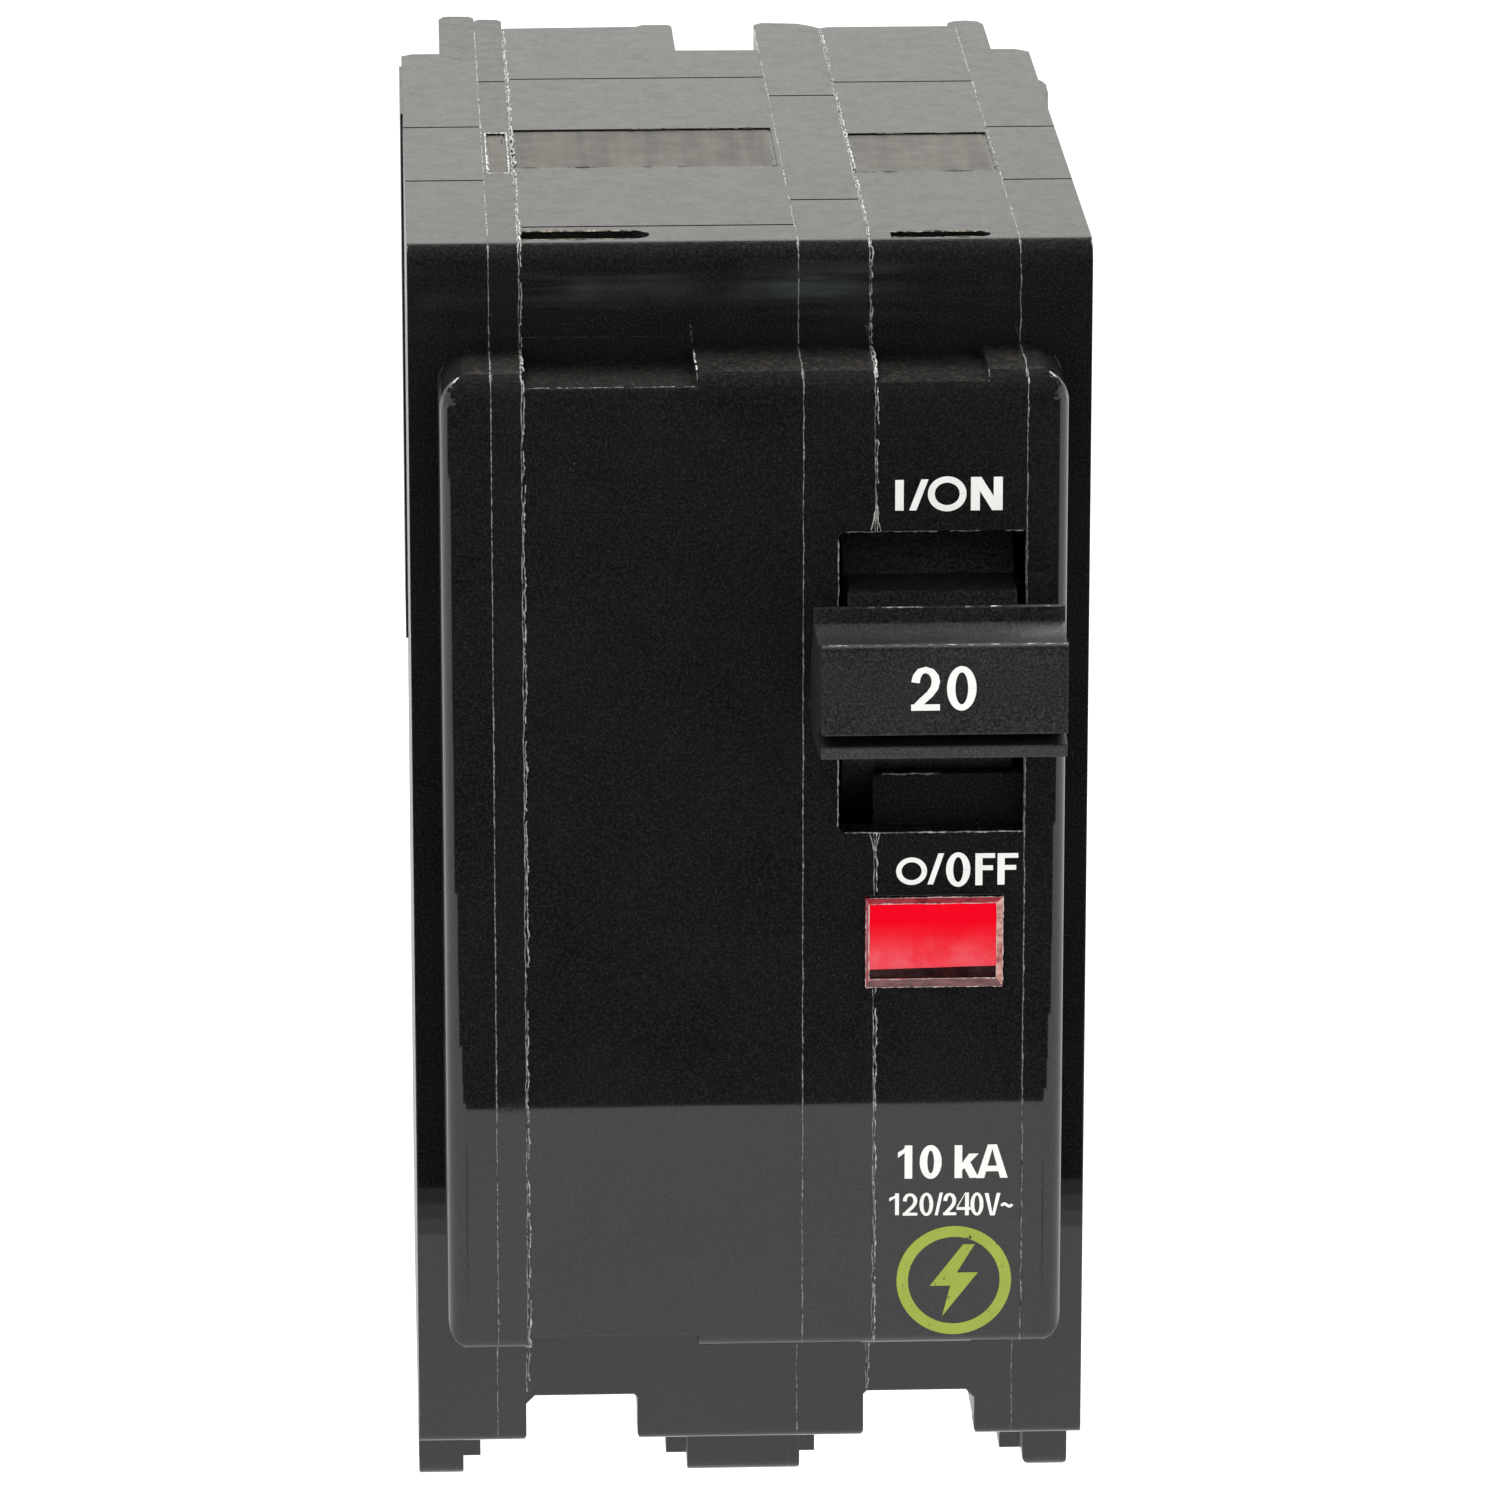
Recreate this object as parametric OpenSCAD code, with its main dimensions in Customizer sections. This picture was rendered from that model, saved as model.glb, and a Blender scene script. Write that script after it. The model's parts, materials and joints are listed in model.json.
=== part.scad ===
// Two-pole common-trip plug-on circuit breaker with one offset toggle handle.
// Working axes: X across the poles, Y from front to rear, Z from load end to line end.
// Y = 0 is the shoulder's front face and Z = 0 its lower edge until place() moves
// the origin to the middle of the two plug-on jaws, in the rear plane.

/* [Case] */
// Half the width over the two poles
half_w = 19.05; // [19:0.05:19.2]
// Height of the shoulder front face
case_h = 70.6; // [70:0.1:72]
// Depth from the shoulder face to the rear plane
case_d = 60; // [59.8:0.1:61]
// Wall thickness of the raised nose
nose_wall = 1.8; // [1.4:0.1:1.9]
// How far the raised nose stands ahead of the shoulder
nose_rise = 6.4; // [6.2:0.1:6.6]
// Half the width of the nose
nose_half_w = 17.35; // [17.1:0.05:17.6]

/* [Handle] */
// Radius of the handle's barrel
barrel_r = 10.5; // [10:0.1:10.6]
// Width of the finger piece
grip_w = 13.5; // [12:0.1:14]
// Angle of the handle from the tripped position to ON or OFF
handle_throw = 22; // [15:1:22]
// Turn of a contact arm in the case for each degree of handle
arm_gain = 0.78; // [0.78]

/* [Contacts and terminals] */
// Centre height of the plug-on jaws
jaw_z = 59; // [58.5:0.1:59.5]
// Radius of the moving contact button
contact_r = 2; // [1.6:0.1:2.1]
// Radius of the terminal screw thread
screw_r = 2.05; // [1.8:0.05:2.1]

/* [Hidden] */

$fn = 48;
LEFT = -1;
RIGHT = 1;

// Parting planes between the six mouldings
seam_a = -14.54;
seam_b = -12.86;
seam_c = 2.66;
seam_d = 6.64;
seam_e = 15.04;

// Side-cover rear edge and the rear tabs beside it
cover_rear = 50.7;
tab_left = -16.7;
tab_right = 16.8;
rib_rear = 61.6;
tab_seam = [50.1, 47.3];

// Mechanism chamber of one pole, given for the right pole and mirrored for the left
chamber_in = 4.4;
chamber_out = 17.2;
link_left = -2.6;
fit = 0.05;

// Pivots as [Y, Z]
handle_pivot = [5, 47.2];
blade_offset = [6.5, -3.2];
blade_pivot = handle_pivot + blade_offset;
trip_pivot = [24, 30];
bar_pivot = [30, 18.5];
armature_pivot = [44, 14.2];
pole_x = 9.7;
shaft_r = 2.4;
blade_pin_r = 1.1;
trip_pin_r = 1.1;
bar_r = 1.5;
armature_pin_r = 0.8;

// Contact closed by the handle at ON, and the same place carried back to rest
closed_contact = [37, 52.85];
contact_gap = 0.15;
button_h = 1.2;
arm_turn = arm_gain * handle_throw;
function turn2(p, a) = [p[0] * cos(a) - p[1] * sin(a), p[0] * sin(a) + p[1] * cos(a)];
blade_pivot_on = handle_pivot + turn2(blade_offset, -handle_throw);
rest_contact = blade_pivot + turn2(closed_contact - blade_pivot_on, -arm_turn);
contact_normal = turn2([0, 1], -arm_turn);
contact_along = turn2([1, 0], -arm_turn);

// Lower and upper end of the nose, and the radius of its upright edges
nose_z = [7.9, 64.8];
nose_upright_r = 1.1;

// Handle slot and trip window in the nose
slot_x = [4.6, seam_e];
slot_z = [38.4, 55.8];
slot_ledge_y = [-4.7, -3.8];
lens_x = [6.16, 13.88];
lens_z = [29.4, 34.7];

// Terminal pocket, screw and wire space
pocket_y = [13.5, 31.5];
pocket_top = 13.6;
pocket_in = 4.6;
pocket_out = 16.35;
skirt_in = 16.45;
nose_hollow_out = 15.6;
notch_x = [6.5, 12.9];
notch_h = 2.85;
screw_z = 1.6;
saddle_y = 18.4;
plate_y = 27;

// Skirts below the case and feet for the mounting rail
skirt_bottom = -5.9;
ledge_bottom = -6.3;
foot_bottom = -8.4;
rail_slot = [50, 55.4];
rear_y = 57.5;

rivet_at = [[5, 67.6], [46, 67.6], [7, 17], [43, 2.5]];
rivet_r = 1.45;
rivet_head_r = 2.2;
rivet_head_h = 0.9;

// Toggle spring ends as [Y, Z]
spring_on_blade = [27, 44];
spring_on_lever = [32, 29.3];
spring_x = 12.2;

// ---- helpers ---------------------------------------------------------------

module place() translate([0, -case_d, -jaw_z]) children();

module on_side(side) {
    if (side < 0) mirror([1, 0, 0]) children();
    else children();
}

// Side outline [Y, Z] drawn out along X
module side_prism(x0, x1) {
    translate([x0, 0, 0]) rotate([90, 0, 90]) linear_extrude(x1 - x0) children();
}

// Plan outline [X, Y] drawn out along Z
module plan_prism(z0, z1) {
    translate([0, 0, z0]) linear_extrude(z1 - z0) children();
}

// Front outline [X, Z] drawn out along Y
module front_prism(y0, y1) {
    translate([0, y1, 0]) rotate([90, 0, 0]) linear_extrude(y1 - y0) children();
}

module rod(x0, x1, at, r) {
    translate([x0, at[0], at[1]]) rotate([0, 90, 0]) cylinder(h = x1 - x0, r = r);
}

module block(x, y, z) {
    translate([x[0], y[0], z[0]]) cube([x[1] - x[0], y[1] - y[0], z[1] - z[0]]);
}

module rect2(a, b) {
    translate([a[0], b[0]]) square([a[1] - a[0], b[1] - b[0]]);
}

function arc(c, r, a0, a1, n = 6) =
    [for (i = [0:n]) c + r * [cos(a0 + (a1 - a0) * i / n), sin(a0 + (a1 - a0) * i / n)]];

// Rectangle with its own radius at each corner: low-low, high-low, high-high, low-high
module round_rect(a, b, r, n = 6) {
    polygon(concat(
        arc([a[0] + r[0], b[0] + r[0]], r[0], 180, 270, n),
        arc([a[1] - r[1], b[0] + r[1]], r[1], 270, 360, n),
        arc([a[1] - r[2], b[1] - r[2]], r[2], 0, 90, n),
        arc([a[0] + r[3], b[1] - r[3]], r[3], 90, 180, n)
    ));
}

// Tube of radius r along a list of points, with flat ends
function unit(v) = v / norm(v);
function tangent(p, i) = unit(p[min(i + 1, len(p) - 1)] - p[max(i - 1, 0)]);
module sweep(p, r, up, sides = 8) {
    rings = len(p);
    points = [for (i = [0:rings - 1]) let (
        t = tangent(p, i), u = unit(cross(t, up)), v = cross(t, u)
    ) for (k = [0:sides - 1]) p[i] + r * (cos(360 * k / sides) * u + sin(360 * k / sides) * v)];
    walls = [for (i = [0:rings - 2], k = [0:sides - 1], half = [0, 1]) let (
        a = i * sides + k, b = i * sides + (k + 1) % sides
    ) half == 0 ? [a, a + sides, b + sides] : [a, b + sides, b]];
    ends = [[for (k = [0:sides - 1]) k], [for (k = [sides - 1:-1:0]) (rings - 1) * sides + k]];
    polyhedron(points, concat(walls, ends));
}

// Coil along +Z from 0 to length
module coil(length, r, wire_r, turns, steps = 10) {
    count = turns * steps;
    sweep([for (i = [0:count]) [
        r * cos(360 * i / steps), r * sin(360 * i / steps), length * i / count
    ]], wire_r, [0, 0, 1], 6);
}

// ---- case mouldings ----------------------------------------------------------

// Side outline of the nose with its front at the given distance from the origin
module nose_side(front) {
    side_prism(-50, 50) round_rect([-front, 30], nose_z, [0.9, 0.1, 0.1, 1.9], 9);
}

// The nose's rounded front edge carried round the upright corner, turned by an angle
module nose_corner(turn) {
    r = nose_upright_r;
    reach = (nose_half_w - r) * sin(abs(turn)) + (nose_rise - r) * cos(turn) + r;
    rotate([0, 0, turn]) nose_side(reach);
}

module nose() {
    z = nose_z;
    r = nose_upright_r;
    difference() {
        intersection() {
            front_prism(-nose_rise, 1)
                round_rect([-nose_half_w, nose_half_w], z, [1.7, 1.7, 1.9, 1.9], 9);
            plan_prism(0, case_h)
                round_rect([-nose_half_w, nose_half_w], [-nose_rise, 3], [r, r, 0.1, 0.1], 9);
            nose_side(nose_rise);
            nose_corner(-67.5);
            nose_corner(-45);
            nose_corner(-22.5);
            nose_corner(22.5);
            nose_corner(45);
            nose_corner(67.5);
        }
        block([seam_b, -3.2], [-8, 0], [z[1] - 0.8, 70]);
        block([seam_b, -3.2], [-8, 0], [0, z[0] + 0.9]);
        block([seam_d, 12.9], [-8, 0], [z[1] - 0.6, 70]);
    }
}

module shoulder() {
    side_prism(-half_w, half_w) round_rect([0, case_d], [0, case_h], [0.6, 0.3, 0.8, 1.3], 9);
}

// Rib that stands out behind the left cover, deeper on its outer half
module rear_rib() {
    for (x = [[tab_left, seam_a, rib_rear], [seam_a - 0.1, seam_b, rib_rear - 1]])
        plan_prism(20, case_h) polygon([
            [x[0], 56], [x[0], x[2] - 0.9], [x[0] + 0.3, x[2] - 0.1], [x[0] + 0.6, x[2]],
            [x[1] - 0.3, x[2] - 0.1], [x[1], x[2] - 0.6], [x[1], 56]
        ]);
}

// Skirts at both sides and in the middle, with a thicker ledge behind their front ends
module skirts() {
    top = 3;
    ledge = [14.4, 19.6];
    intersection() {
        side_prism(-half_w, half_w)
            round_rect([10, 49], [skirt_bottom, top], [0.8, 0.8, 0.1, 0.1]);
        front_prism(0, 60) {
            round_rect([-half_w, -skirt_in], [skirt_bottom, 4], [0.35, 0.35, 0.1, 0.1]);
            round_rect([-3.3, 3.3], [skirt_bottom, 4], [0.35, 0.35, 0.1, 0.1]);
            round_rect([skirt_in, half_w], [skirt_bottom, 4], [0.7, 0.45, 0.1, 0.1]);
        }
    }
    block([-half_w, -15.4], ledge, [ledge_bottom, top]);
    block([-4.4, 4.4], ledge, [ledge_bottom, top]);
    block([15.4, half_w], ledge, [ledge_bottom, top]);
}

// Foot of one pole: a front limb, a rear limb and the rail slot between them
module feet() {
    for (x = [[tab_left, -2.3], [2.9, tab_right]])
        side_prism(x[0], x[1]) difference() {
            union() {
                round_rect([44, 52], [skirt_bottom, 2], [1.5, 0.1, 0.1, 0.1]);
                round_rect([49.5, rear_y], [foot_bottom, 2.2], [0.8, 0.8, 0.1, 0.1]);
            }
            rect2(rail_slot, [-10, 0.6]);
        }
}

// Raised pad low on the left side, small bump high on the right side
module side_pads() {
    block([-half_w - 0.15, -half_w + 0.5], [35.9, cover_rear - 1.6], [38, case_h - 0.4]);
    plan_prism(60, case_h - 0.4) polygon([
        [half_w - 0.5, 34], [half_w, 34], [half_w + 0.45, 40], [half_w + 0.5, 42.4],
        [half_w + 0.3, 43.4], [half_w, 43.9], [half_w - 0.5, 43.9]
    ]);
}

module case_body() {
    nose();
    shoulder();
    skirts();
    feet();
    side_pads();
    rear_rib();
}

// Hollow of one pole: mechanism chamber, terminal pocket and the ways into them
module pole_hollow(side) {
    on_side(side) {
        difference() {
            union() {
                block([chamber_in, 15], [2, 54], [15.5, 65.6]);
                block([14.9, chamber_out], [2, 48.8], [15.5, 65.6]);
                block([chamber_in, 15], [33, 54], [5, 16]);
                block([14.9, chamber_out], [33, 48.8], [5.01, 16]);
            }
            rod(chamber_in - 1, 20, rivet_at[2], 3.4);
        }
        block([chamber_in, nose_hollow_out], [nose_wall - nose_rise, 3], [19.5, 62.5]);
        block([pocket_in, 15.2], pocket_y, [-12, pocket_top]);
        block([pocket_in, pocket_out], [19.8, pocket_y[1]], [-12, pocket_top]);
        // relief for the tip of the terminal screw
        block([pole_x - 2.5, pole_x + 2.5], [31, 36.2], [-12, 4.2]);
        // slit for the load strap in the wall behind the pocket
        block([6.8, 12.6], [30, 34], [8.2, 10.2]);
        // screwdriver notch in the front wall, taller behind it
        front_prism(-1, 14) polygon([
            [notch_x[0] - 0.4, -2], [notch_x[0] - 0.4, 0], [notch_x[0] - 0.1, 0.1],
            [notch_x[0], 0.4], [notch_x[0], notch_h - 0.2], [notch_x[0] + 0.2, notch_h],
            [notch_x[1] - 0.5, notch_h], [notch_x[1], notch_h - 0.5], [notch_x[1], 0.4],
            [notch_x[1] + 0.1, 0.1], [notch_x[1] + 0.4, 0], [notch_x[1] + 0.4, -2]
        ]);
        block([notch_x[0] - 0.1, notch_x[1] + 0.1], [2, 14.5], [-2.2, 5.4]);
        // slot for the bus stab in the rear wall
        block([pocket_in, 15], [53, 62], [jaw_z - 3.4, jaw_z + 3.4]);
        // way to the calibration screw
        translate([pole_x, 62, 9.2]) rotate([90, 0, 0]) cylinder(h = 10, r = 1.6);
        translate([pole_x, 62, 9.2]) rotate([90, 0, 0]) cylinder(h = 6, r = 2.3);
    }
}

// Round bores through the mouldings for shaft, trip bar, trip pins and rivets
module bores() {
    rod(-17.4, 17.4, handle_pivot, shaft_r + fit);
    rod(-16.6, 16.6, bar_pivot, bar_r + fit);
    for (s = [LEFT, RIGHT]) on_side(s) rod(15, 17.6, trip_pivot, trip_pin_r + 0.02);
    for (p = rivet_at) {
        rod(-21, 21, p, rivet_r + fit);
        for (s = [LEFT, RIGHT]) on_side(s) rod(half_w - 0.9, 21, p, rivet_head_r + 0.1);
    }
}

// One moulding: the case body inside a plan outline, hollowed, less its children's marks
module moulding(side, outline) {
    difference() {
        intersection() {
            case_body();
            plan_prism(-12, 80) polygon(outline);
        }
        pole_hollow(side);
        children();
    }
}

// Bearing bosses inside a side cover
module cover_bosses() {
    rod(15.6, chamber_out + 0.3, handle_pivot, 4.2);
    rod(15.3, chamber_out + 0.3, trip_pivot, 2.6);
    rod(15.9, chamber_out + 0.3, bar_pivot, 3);
}

// Moulding marks on the line-end face
module line_mark(y, depth = 0.15) {
    block([-30, 30], [y, y + 0.22], [case_h - depth, case_h + 1]);
}

module patch_mark(x, y, depth) {
    block(x, y, [case_h - depth, case_h + 1]);
}

module slot_mark(x, y) {
    r = (y[1] - y[0]) / 2;
    block(x, y, [case_h - 0.9, case_h + 1]);
    translate([x[1], y[0] + r, case_h - 0.9]) cylinder(h = 2, r = r - 0.01);
}

module left_side_cover() place() color("#1d1d1f") difference() {
    union() {
        moulding(LEFT, [
            [-21, -10], [seam_a, -10], [seam_a, tab_seam[1]], [tab_left, tab_seam[0]],
            [tab_left, cover_rear], [0.6 - half_w, cover_rear], [0.1 - half_w, cover_rear - 0.5],
            [-21, cover_rear - 0.6]
        ]) {
            line_mark(30.3);
            line_mark(16.4);
        }
        on_side(LEFT) cover_bosses();
    }
    bores();
}

module left_spacer_plate() place() color("#232325") difference() {
    moulding(LEFT, [
        [seam_a, -10], [seam_b, -10], [seam_b, 70], [tab_left, 70],
        [tab_left, tab_seam[0]], [seam_a, tab_seam[1]]
    ]) {
        line_mark(42.6);
        patch_mark([seam_a + 0.3, seam_b - 0.3], [18.4, 28.6], 0.1);
    }
    bores();
}

module left_pole_case() place() color("#1b1b1d") difference() {
    moulding(LEFT, [
        [seam_b, -10], [seam_c, -10], [seam_c, 51], [-2.4, 51.1], [-2.4, 58.2], [-2.6, 58.6],
        [-4.2, 58.6], [-4.6, 58.1], [seam_b + 0.3, 57.9], [seam_b, 57.7]
    ]) {
        side_prism(link_left, 4) rect2([3, 48], [11, 65]);
        patch_mark([-20, 2.4], [19.6, 29.5], 0.1);
        slot_mark([-20, -6.5], [1.8, 3.8]);
        line_mark(43.2);
        line_mark(4.7, 0.1);
    }
    bores();
}

module centre_cover() place() color("#202022") difference() {
    moulding(RIGHT, [
        [seam_c, -10], [seam_d, -10], [seam_d, 57.2], [seam_d - 0.5, 57.9],
        [seam_d - 1.3, 58.6], [seam_c + 0.5, 58.9], [seam_c, 58.3]
    ]) {
        face_openings();
        line_mark(38);
        line_mark(10.8);
    }
    bores();
}

module right_pole_case() place() color("#1b1b1d") difference() {
    union() {
        block([seam_d, seam_e], slot_ledge_y, [slot_z[0] - 1.6, slot_z[0] + 2.9]);
        right_pole_shell();
    }
    bores();
}

// Right pole before its bores and the ledge behind the lower end of the handle slot
module right_pole_shell() moulding(RIGHT, [
    [seam_d, -10], [seam_e, -10], [seam_e, cover_rear], [tab_right, cover_rear],
    [tab_right, 58], [tab_right - 0.3, 58.8], [tab_right - 1, 59.1], [seam_e, 58.9],
    [seam_e - 0.4, 58.4], [seam_e - 0.5, rear_y], [seam_d + 0.5, rear_y], [seam_d, 57.1]
]) {
    face_openings();
    patch_mark([0, 14.9], [17.8, 27.8], 0.1);
    slot_mark([7.9, 12.8], [1.5, 2.9]);
    line_mark(41.6);
}

module right_side_cover() place() color("#1d1d1f") difference() {
    union() {
        moulding(RIGHT, [
            [seam_e, -10], [21, -10], [21, 48], [half_w - 0.8, cover_rear], [seam_e, cover_rear]
        ]) {
            line_mark(29.1);
            line_mark(15.4);
        }
        cover_bosses();
    }
    bores();
}

// Handle slot and trip window in the front of the nose
module face_openings() {
    front_prism(-8, 0) round_rect([slot_x[0], slot_x[1] + 1], slot_z, [0.5, 0.05, 0.05, 0.5]);
    block(lens_x, [-8, 0], lens_z);
}

module case_rivets() place() color("#9a9b9d") for (p = rivet_at) {
    rod(-half_w + 0.5, half_w - 0.5, p, rivet_r);
    for (s = [LEFT, RIGHT]) on_side(s) difference() {
        rod(half_w - 0.9, half_w - 0.9 + rivet_head_h, p, rivet_head_r);
        rod(half_w - 0.4, half_w, p, 0.8);
    }
}

// Clear window: a block through the nose wall and a flange behind it
module trip_window_lens() place() color("#dfe6ea") {
    gap = 0.05;
    block([lens_x[0] + gap, lens_x[1] - gap], [-nose_rise - 0.3, -4.5], [lens_z[0] + gap, lens_z[1] - gap]);
    block([lens_x[0] - 0.6, lens_x[1] + 0.6], [-nose_rise + nose_wall, -4.0], [lens_z[0] - 0.5, lens_z[1] + 0.5]);
}

// ---- handle and contact arms ---------------------------------------------------

// Barrel with a slot at the rear for the contact arm and bores for shaft and pin
module barrel(r) {
    difference() {
        rod(4.95, 14.5, handle_pivot, r);
        rod(4, 16, handle_pivot, shaft_r + 0.02);
        rod(4, 16, blade_pivot, blade_pin_r + 0.02);
        block([8.4, 11], [handle_pivot[0] + 3.2, 20], [30, 62]);
    }
}

// Finger piece outline [Y, Z] about the pivot
module grip_outline() {
    polygon(concat(
        [[-18.4, -2.4], [-18.6, -1.65], [-16.6, -1.5], [-16.6, -1.0], [-18.8, -0.95]],
        arc([-18.65, 3.9], 0.25, 180, 100, 4),
        arc([-16.85, 6.95], 3.2, 240, 307, 12),
        [[-14.8, 5.15], [-14.5, 5.2], [-13.4, 2.4], [-12.9, 0], [-13.2, -1.6],
        [-14.2, -2.4]]
    ));
}

module handle() place() color("#19191a") {
    grip_mid = (3.29 + 16.87) / 2;
    barrel(barrel_r);
    translate([0, handle_pivot[0], handle_pivot[1]]) {
        intersection() {
            side_prism(0, 20) grip_outline();
            plan_prism(-20, 20) polygon([
                [grip_mid - grip_w / 2, -19], [grip_mid + grip_w / 2, -19],
                [grip_mid + grip_w / 2 + 0.15, -12], [grip_mid - grip_w / 2 - 0.4, -12]
            ]);
        }
        side_prism(5.1, 14.5) polygon([
            [-17, 3.2], [-13.7, 3.4], [-12, 4], [-11.4, 5.2], [-9, 5.5], [-9, -1.8], [-17, -1.2]
        ]);
    }
}

module left_crank() place() color("#2c2a28") on_side(LEFT) barrel(9.2);

module drive_shaft() place() color("#a8a9ab") rod(-17.1, 17.1, handle_pivot, shaft_r);

module blade_pin(side) place() color("#b9babc") on_side(side)
    rod(5.2, 14.3, blade_pivot, blade_pin_r);
module blade_pin_left() blade_pin(LEFT);
module blade_pin_right() blade_pin(RIGHT);

module moving_blade(side) place() color("#b87a4b") on_side(side) {
    base = rest_contact - button_h * contact_normal;
    tip = base + 2.6 * contact_along;
    heel = base - 2.6 * contact_along;
    depth = 3 * contact_normal;
    difference() {
        union() {
            rod(pole_x - 1, pole_x + 1, blade_pivot, 2.8);
            side_prism(pole_x - 1, pole_x + 1) polygon([
                blade_pivot + [1.4, 2.2], [24, 46.9], [36.2, 46.7], heel, tip,
                tip - depth, heel - depth, [34, 43.4], [20, 42.6], blade_pivot + [1.4, -2.2]
            ]);
        }
        rod(0, 20, blade_pivot, blade_pin_r + 0.06);
        rod(0, 20, spring_on_blade, 0.8);
    }
}
module moving_blade_left() moving_blade(LEFT);
module moving_blade_right() moving_blade(RIGHT);

module moving_contact(side) place() color("#d8d8d2") on_side(side)
    translate([pole_x, rest_contact[0], rest_contact[1]]) rotate([-arm_turn, 0, 0])
        translate([0, 0, -button_h]) cylinder(h = button_h, r = contact_r);
module moving_contact_left() moving_contact(LEFT);
module moving_contact_right() moving_contact(RIGHT);

strap_z = closed_contact[1] + contact_gap + button_h;
module fixed_contact(side) place() color("#d8d8d2") on_side(side)
    translate([pole_x, closed_contact[0], strap_z - button_h]) cylinder(h = button_h, r = 2.3);
module fixed_contact_left() fixed_contact(LEFT);
module fixed_contact_right() fixed_contact(RIGHT);

// ---- line side -----------------------------------------------------------------

// One jaw leaf [Y, Z] above the jaw's centre line
module leaf() {
    polygon([[45.5, 2.9], [54.2, 1], [56.6, 2.1], [56.6, 3.1], [54.2, 2.1], [45.5, 3.9]]);
}

module line_jaw(side) place() color("#c07f52") on_side(side) translate([0, 0, jaw_z]) {
    strap = [strap_z - jaw_z, strap_z - jaw_z + 1.4];
    block([5.2, 14.2], [45, 46.2], [-3.9, 3.9]);
    side_prism(5.2, 14.2) leaf();
    mirror([0, 0, 1]) side_prism(5.2, 14.2) leaf();
    block([7, 12.4], [33.6, 45.6], strap);
    block([7, 12.4], [45, 46.2], [strap[0], -3]);
}
module line_jaw_left() line_jaw(LEFT);
module line_jaw_right() line_jaw(RIGHT);

// Steel spring clip over the outside of the jaw, cut away for the contact strap
module jaw_spring_leaf() {
    side_prism(5.6, 13.8) polygon([
        [44.2, 4.3], [45.5, 4.2], [54.2, 2.3], [55.2, 2.6], [55.1, 3.15],
        [54.2, 2.95], [45.6, 4.9], [44.2, 4.8]
    ]);
}

module jaw_spring(side) place() color("#8d9195") on_side(side) translate([0, 0, jaw_z])
    difference() {
        union() {
            block([5.6, 13.8], [43.8, 44.7], [-5, 5]);
            jaw_spring_leaf();
            mirror([0, 0, 1]) jaw_spring_leaf();
        }
        block([6.8, 12.6], [40, 60], [-8, strap_z - jaw_z + 1.7]);
    }
module jaw_spring_left() jaw_spring(LEFT);
module jaw_spring_right() jaw_spring(RIGHT);

module arc_plates(side) place() color("#7d8184") on_side(side)
    for (i = [0:4]) translate([0, 0, 38.8 + i * 2.7]) difference() {
        block([5.6, 13.8], [41.6, 51.6], [0, 0.8]);
        block([6.7, 12.7], [40, 45], [-1, 2]);
        translate([pole_x, 45, -1]) cylinder(h = 3, r = 2.4);
    }
module arc_plates_left() arc_plates(LEFT);
module arc_plates_right() arc_plates(RIGHT);

// Fibre channel that holds the arc plates
module arc_liner(side) place() color("#a8563f") on_side(side) difference() {
    block([4.9, 14.5], [41, 52.4], [37.8, 52.8]);
    block([5.55, 13.85], [40, 51.65], [37, 54]);
}
module arc_liner_left() arc_liner(LEFT);
module arc_liner_right() arc_liner(RIGHT);

// ---- trip unit -----------------------------------------------------------------

module trip_pivot_pins() place() color("#b9babc") for (s = [LEFT, RIGHT]) on_side(s) {
    rod(13.4, 17.5, trip_pivot, trip_pin_r);
    rod(12.8, 13.4, trip_pivot, 1.8);
}

lever_x = [13.6, 14.8];
module lever_plate(side, front) place() color("#c9b06a") on_side(side) difference() {
    union() {
        rod(lever_x[0], lever_x[1], trip_pivot, 2.8);
        side_prism(lever_x[0], lever_x[1])
            polygon([[25.3, 32.2], [34, 31.6], [39.9, 30.6], [39.9, 27.6], [33, 27.2], [25.3, 27.7]]);
        if (front) side_prism(lever_x[0], lever_x[1])
            polygon([[22.8, 32.3], [5, 33.2], [-2.25, 33.8], [-2.25, 30.2], [5, 29.8], [22.8, 27.7]]);
    }
    rod(10, 20, trip_pivot, trip_pin_r + 0.06);
    rod(10, 20, spring_on_lever, 0.8);
}
module trip_lever_left() lever_plate(LEFT, false);
module trip_lever_right() lever_plate(RIGHT, true);

module trip_flag() place() color("#c3181d") block([5.9, lever_x[1]], [-3.3, -2.3], [28.6, 35.6]);

// Tension spring from the contact arm to the trip lever, with a straight hook at each end
module toggle_spring(side) place() color("#c9ccd0") on_side(side) {
    run = spring_on_lever - spring_on_blade;
    coil_r = 0.9;
    wire_r = 0.28;
    translate([spring_x, spring_on_blade[0], spring_on_blade[1]])
        rotate([atan2(run[1], run[0]) - 90, 0, 0]) {
            coil(norm(run), coil_r, wire_r, 9);
            rotate([0, 90, 0]) translate([0, 0, pole_x - 0.8 - spring_x])
                cylinder(h = spring_x - pole_x + 0.8 + coil_r + 0.1, r = 0.34, $fn = 16);
            translate([0, 0, norm(run)]) rotate([0, 90, 0]) translate([0, 0, coil_r - 0.4])
                cylinder(h = lever_x[1] - 0.2 - spring_x - coil_r + 0.4, r = 0.34, $fn = 16);
        }
}
module toggle_spring_left() toggle_spring(LEFT);
module toggle_spring_right() toggle_spring(RIGHT);

bimetal_foot = 10.15;
bend_axis = [49.3, bimetal_foot + 0.6];
module bimetal(side) place() color("#b9a58c") on_side(side) difference() {
    union() {
        block([7.6, 12], [48.8, 49.8], [bimetal_foot, 33.6]);
        block([7.6, 12], [48.8, 51.2], [bimetal_foot, bimetal_foot + 1.2]);
    }
    rod(7, 13, bend_axis, 0.25);
}
module bimetal_left() bimetal(LEFT);
module bimetal_right() bimetal(RIGHT);

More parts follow.
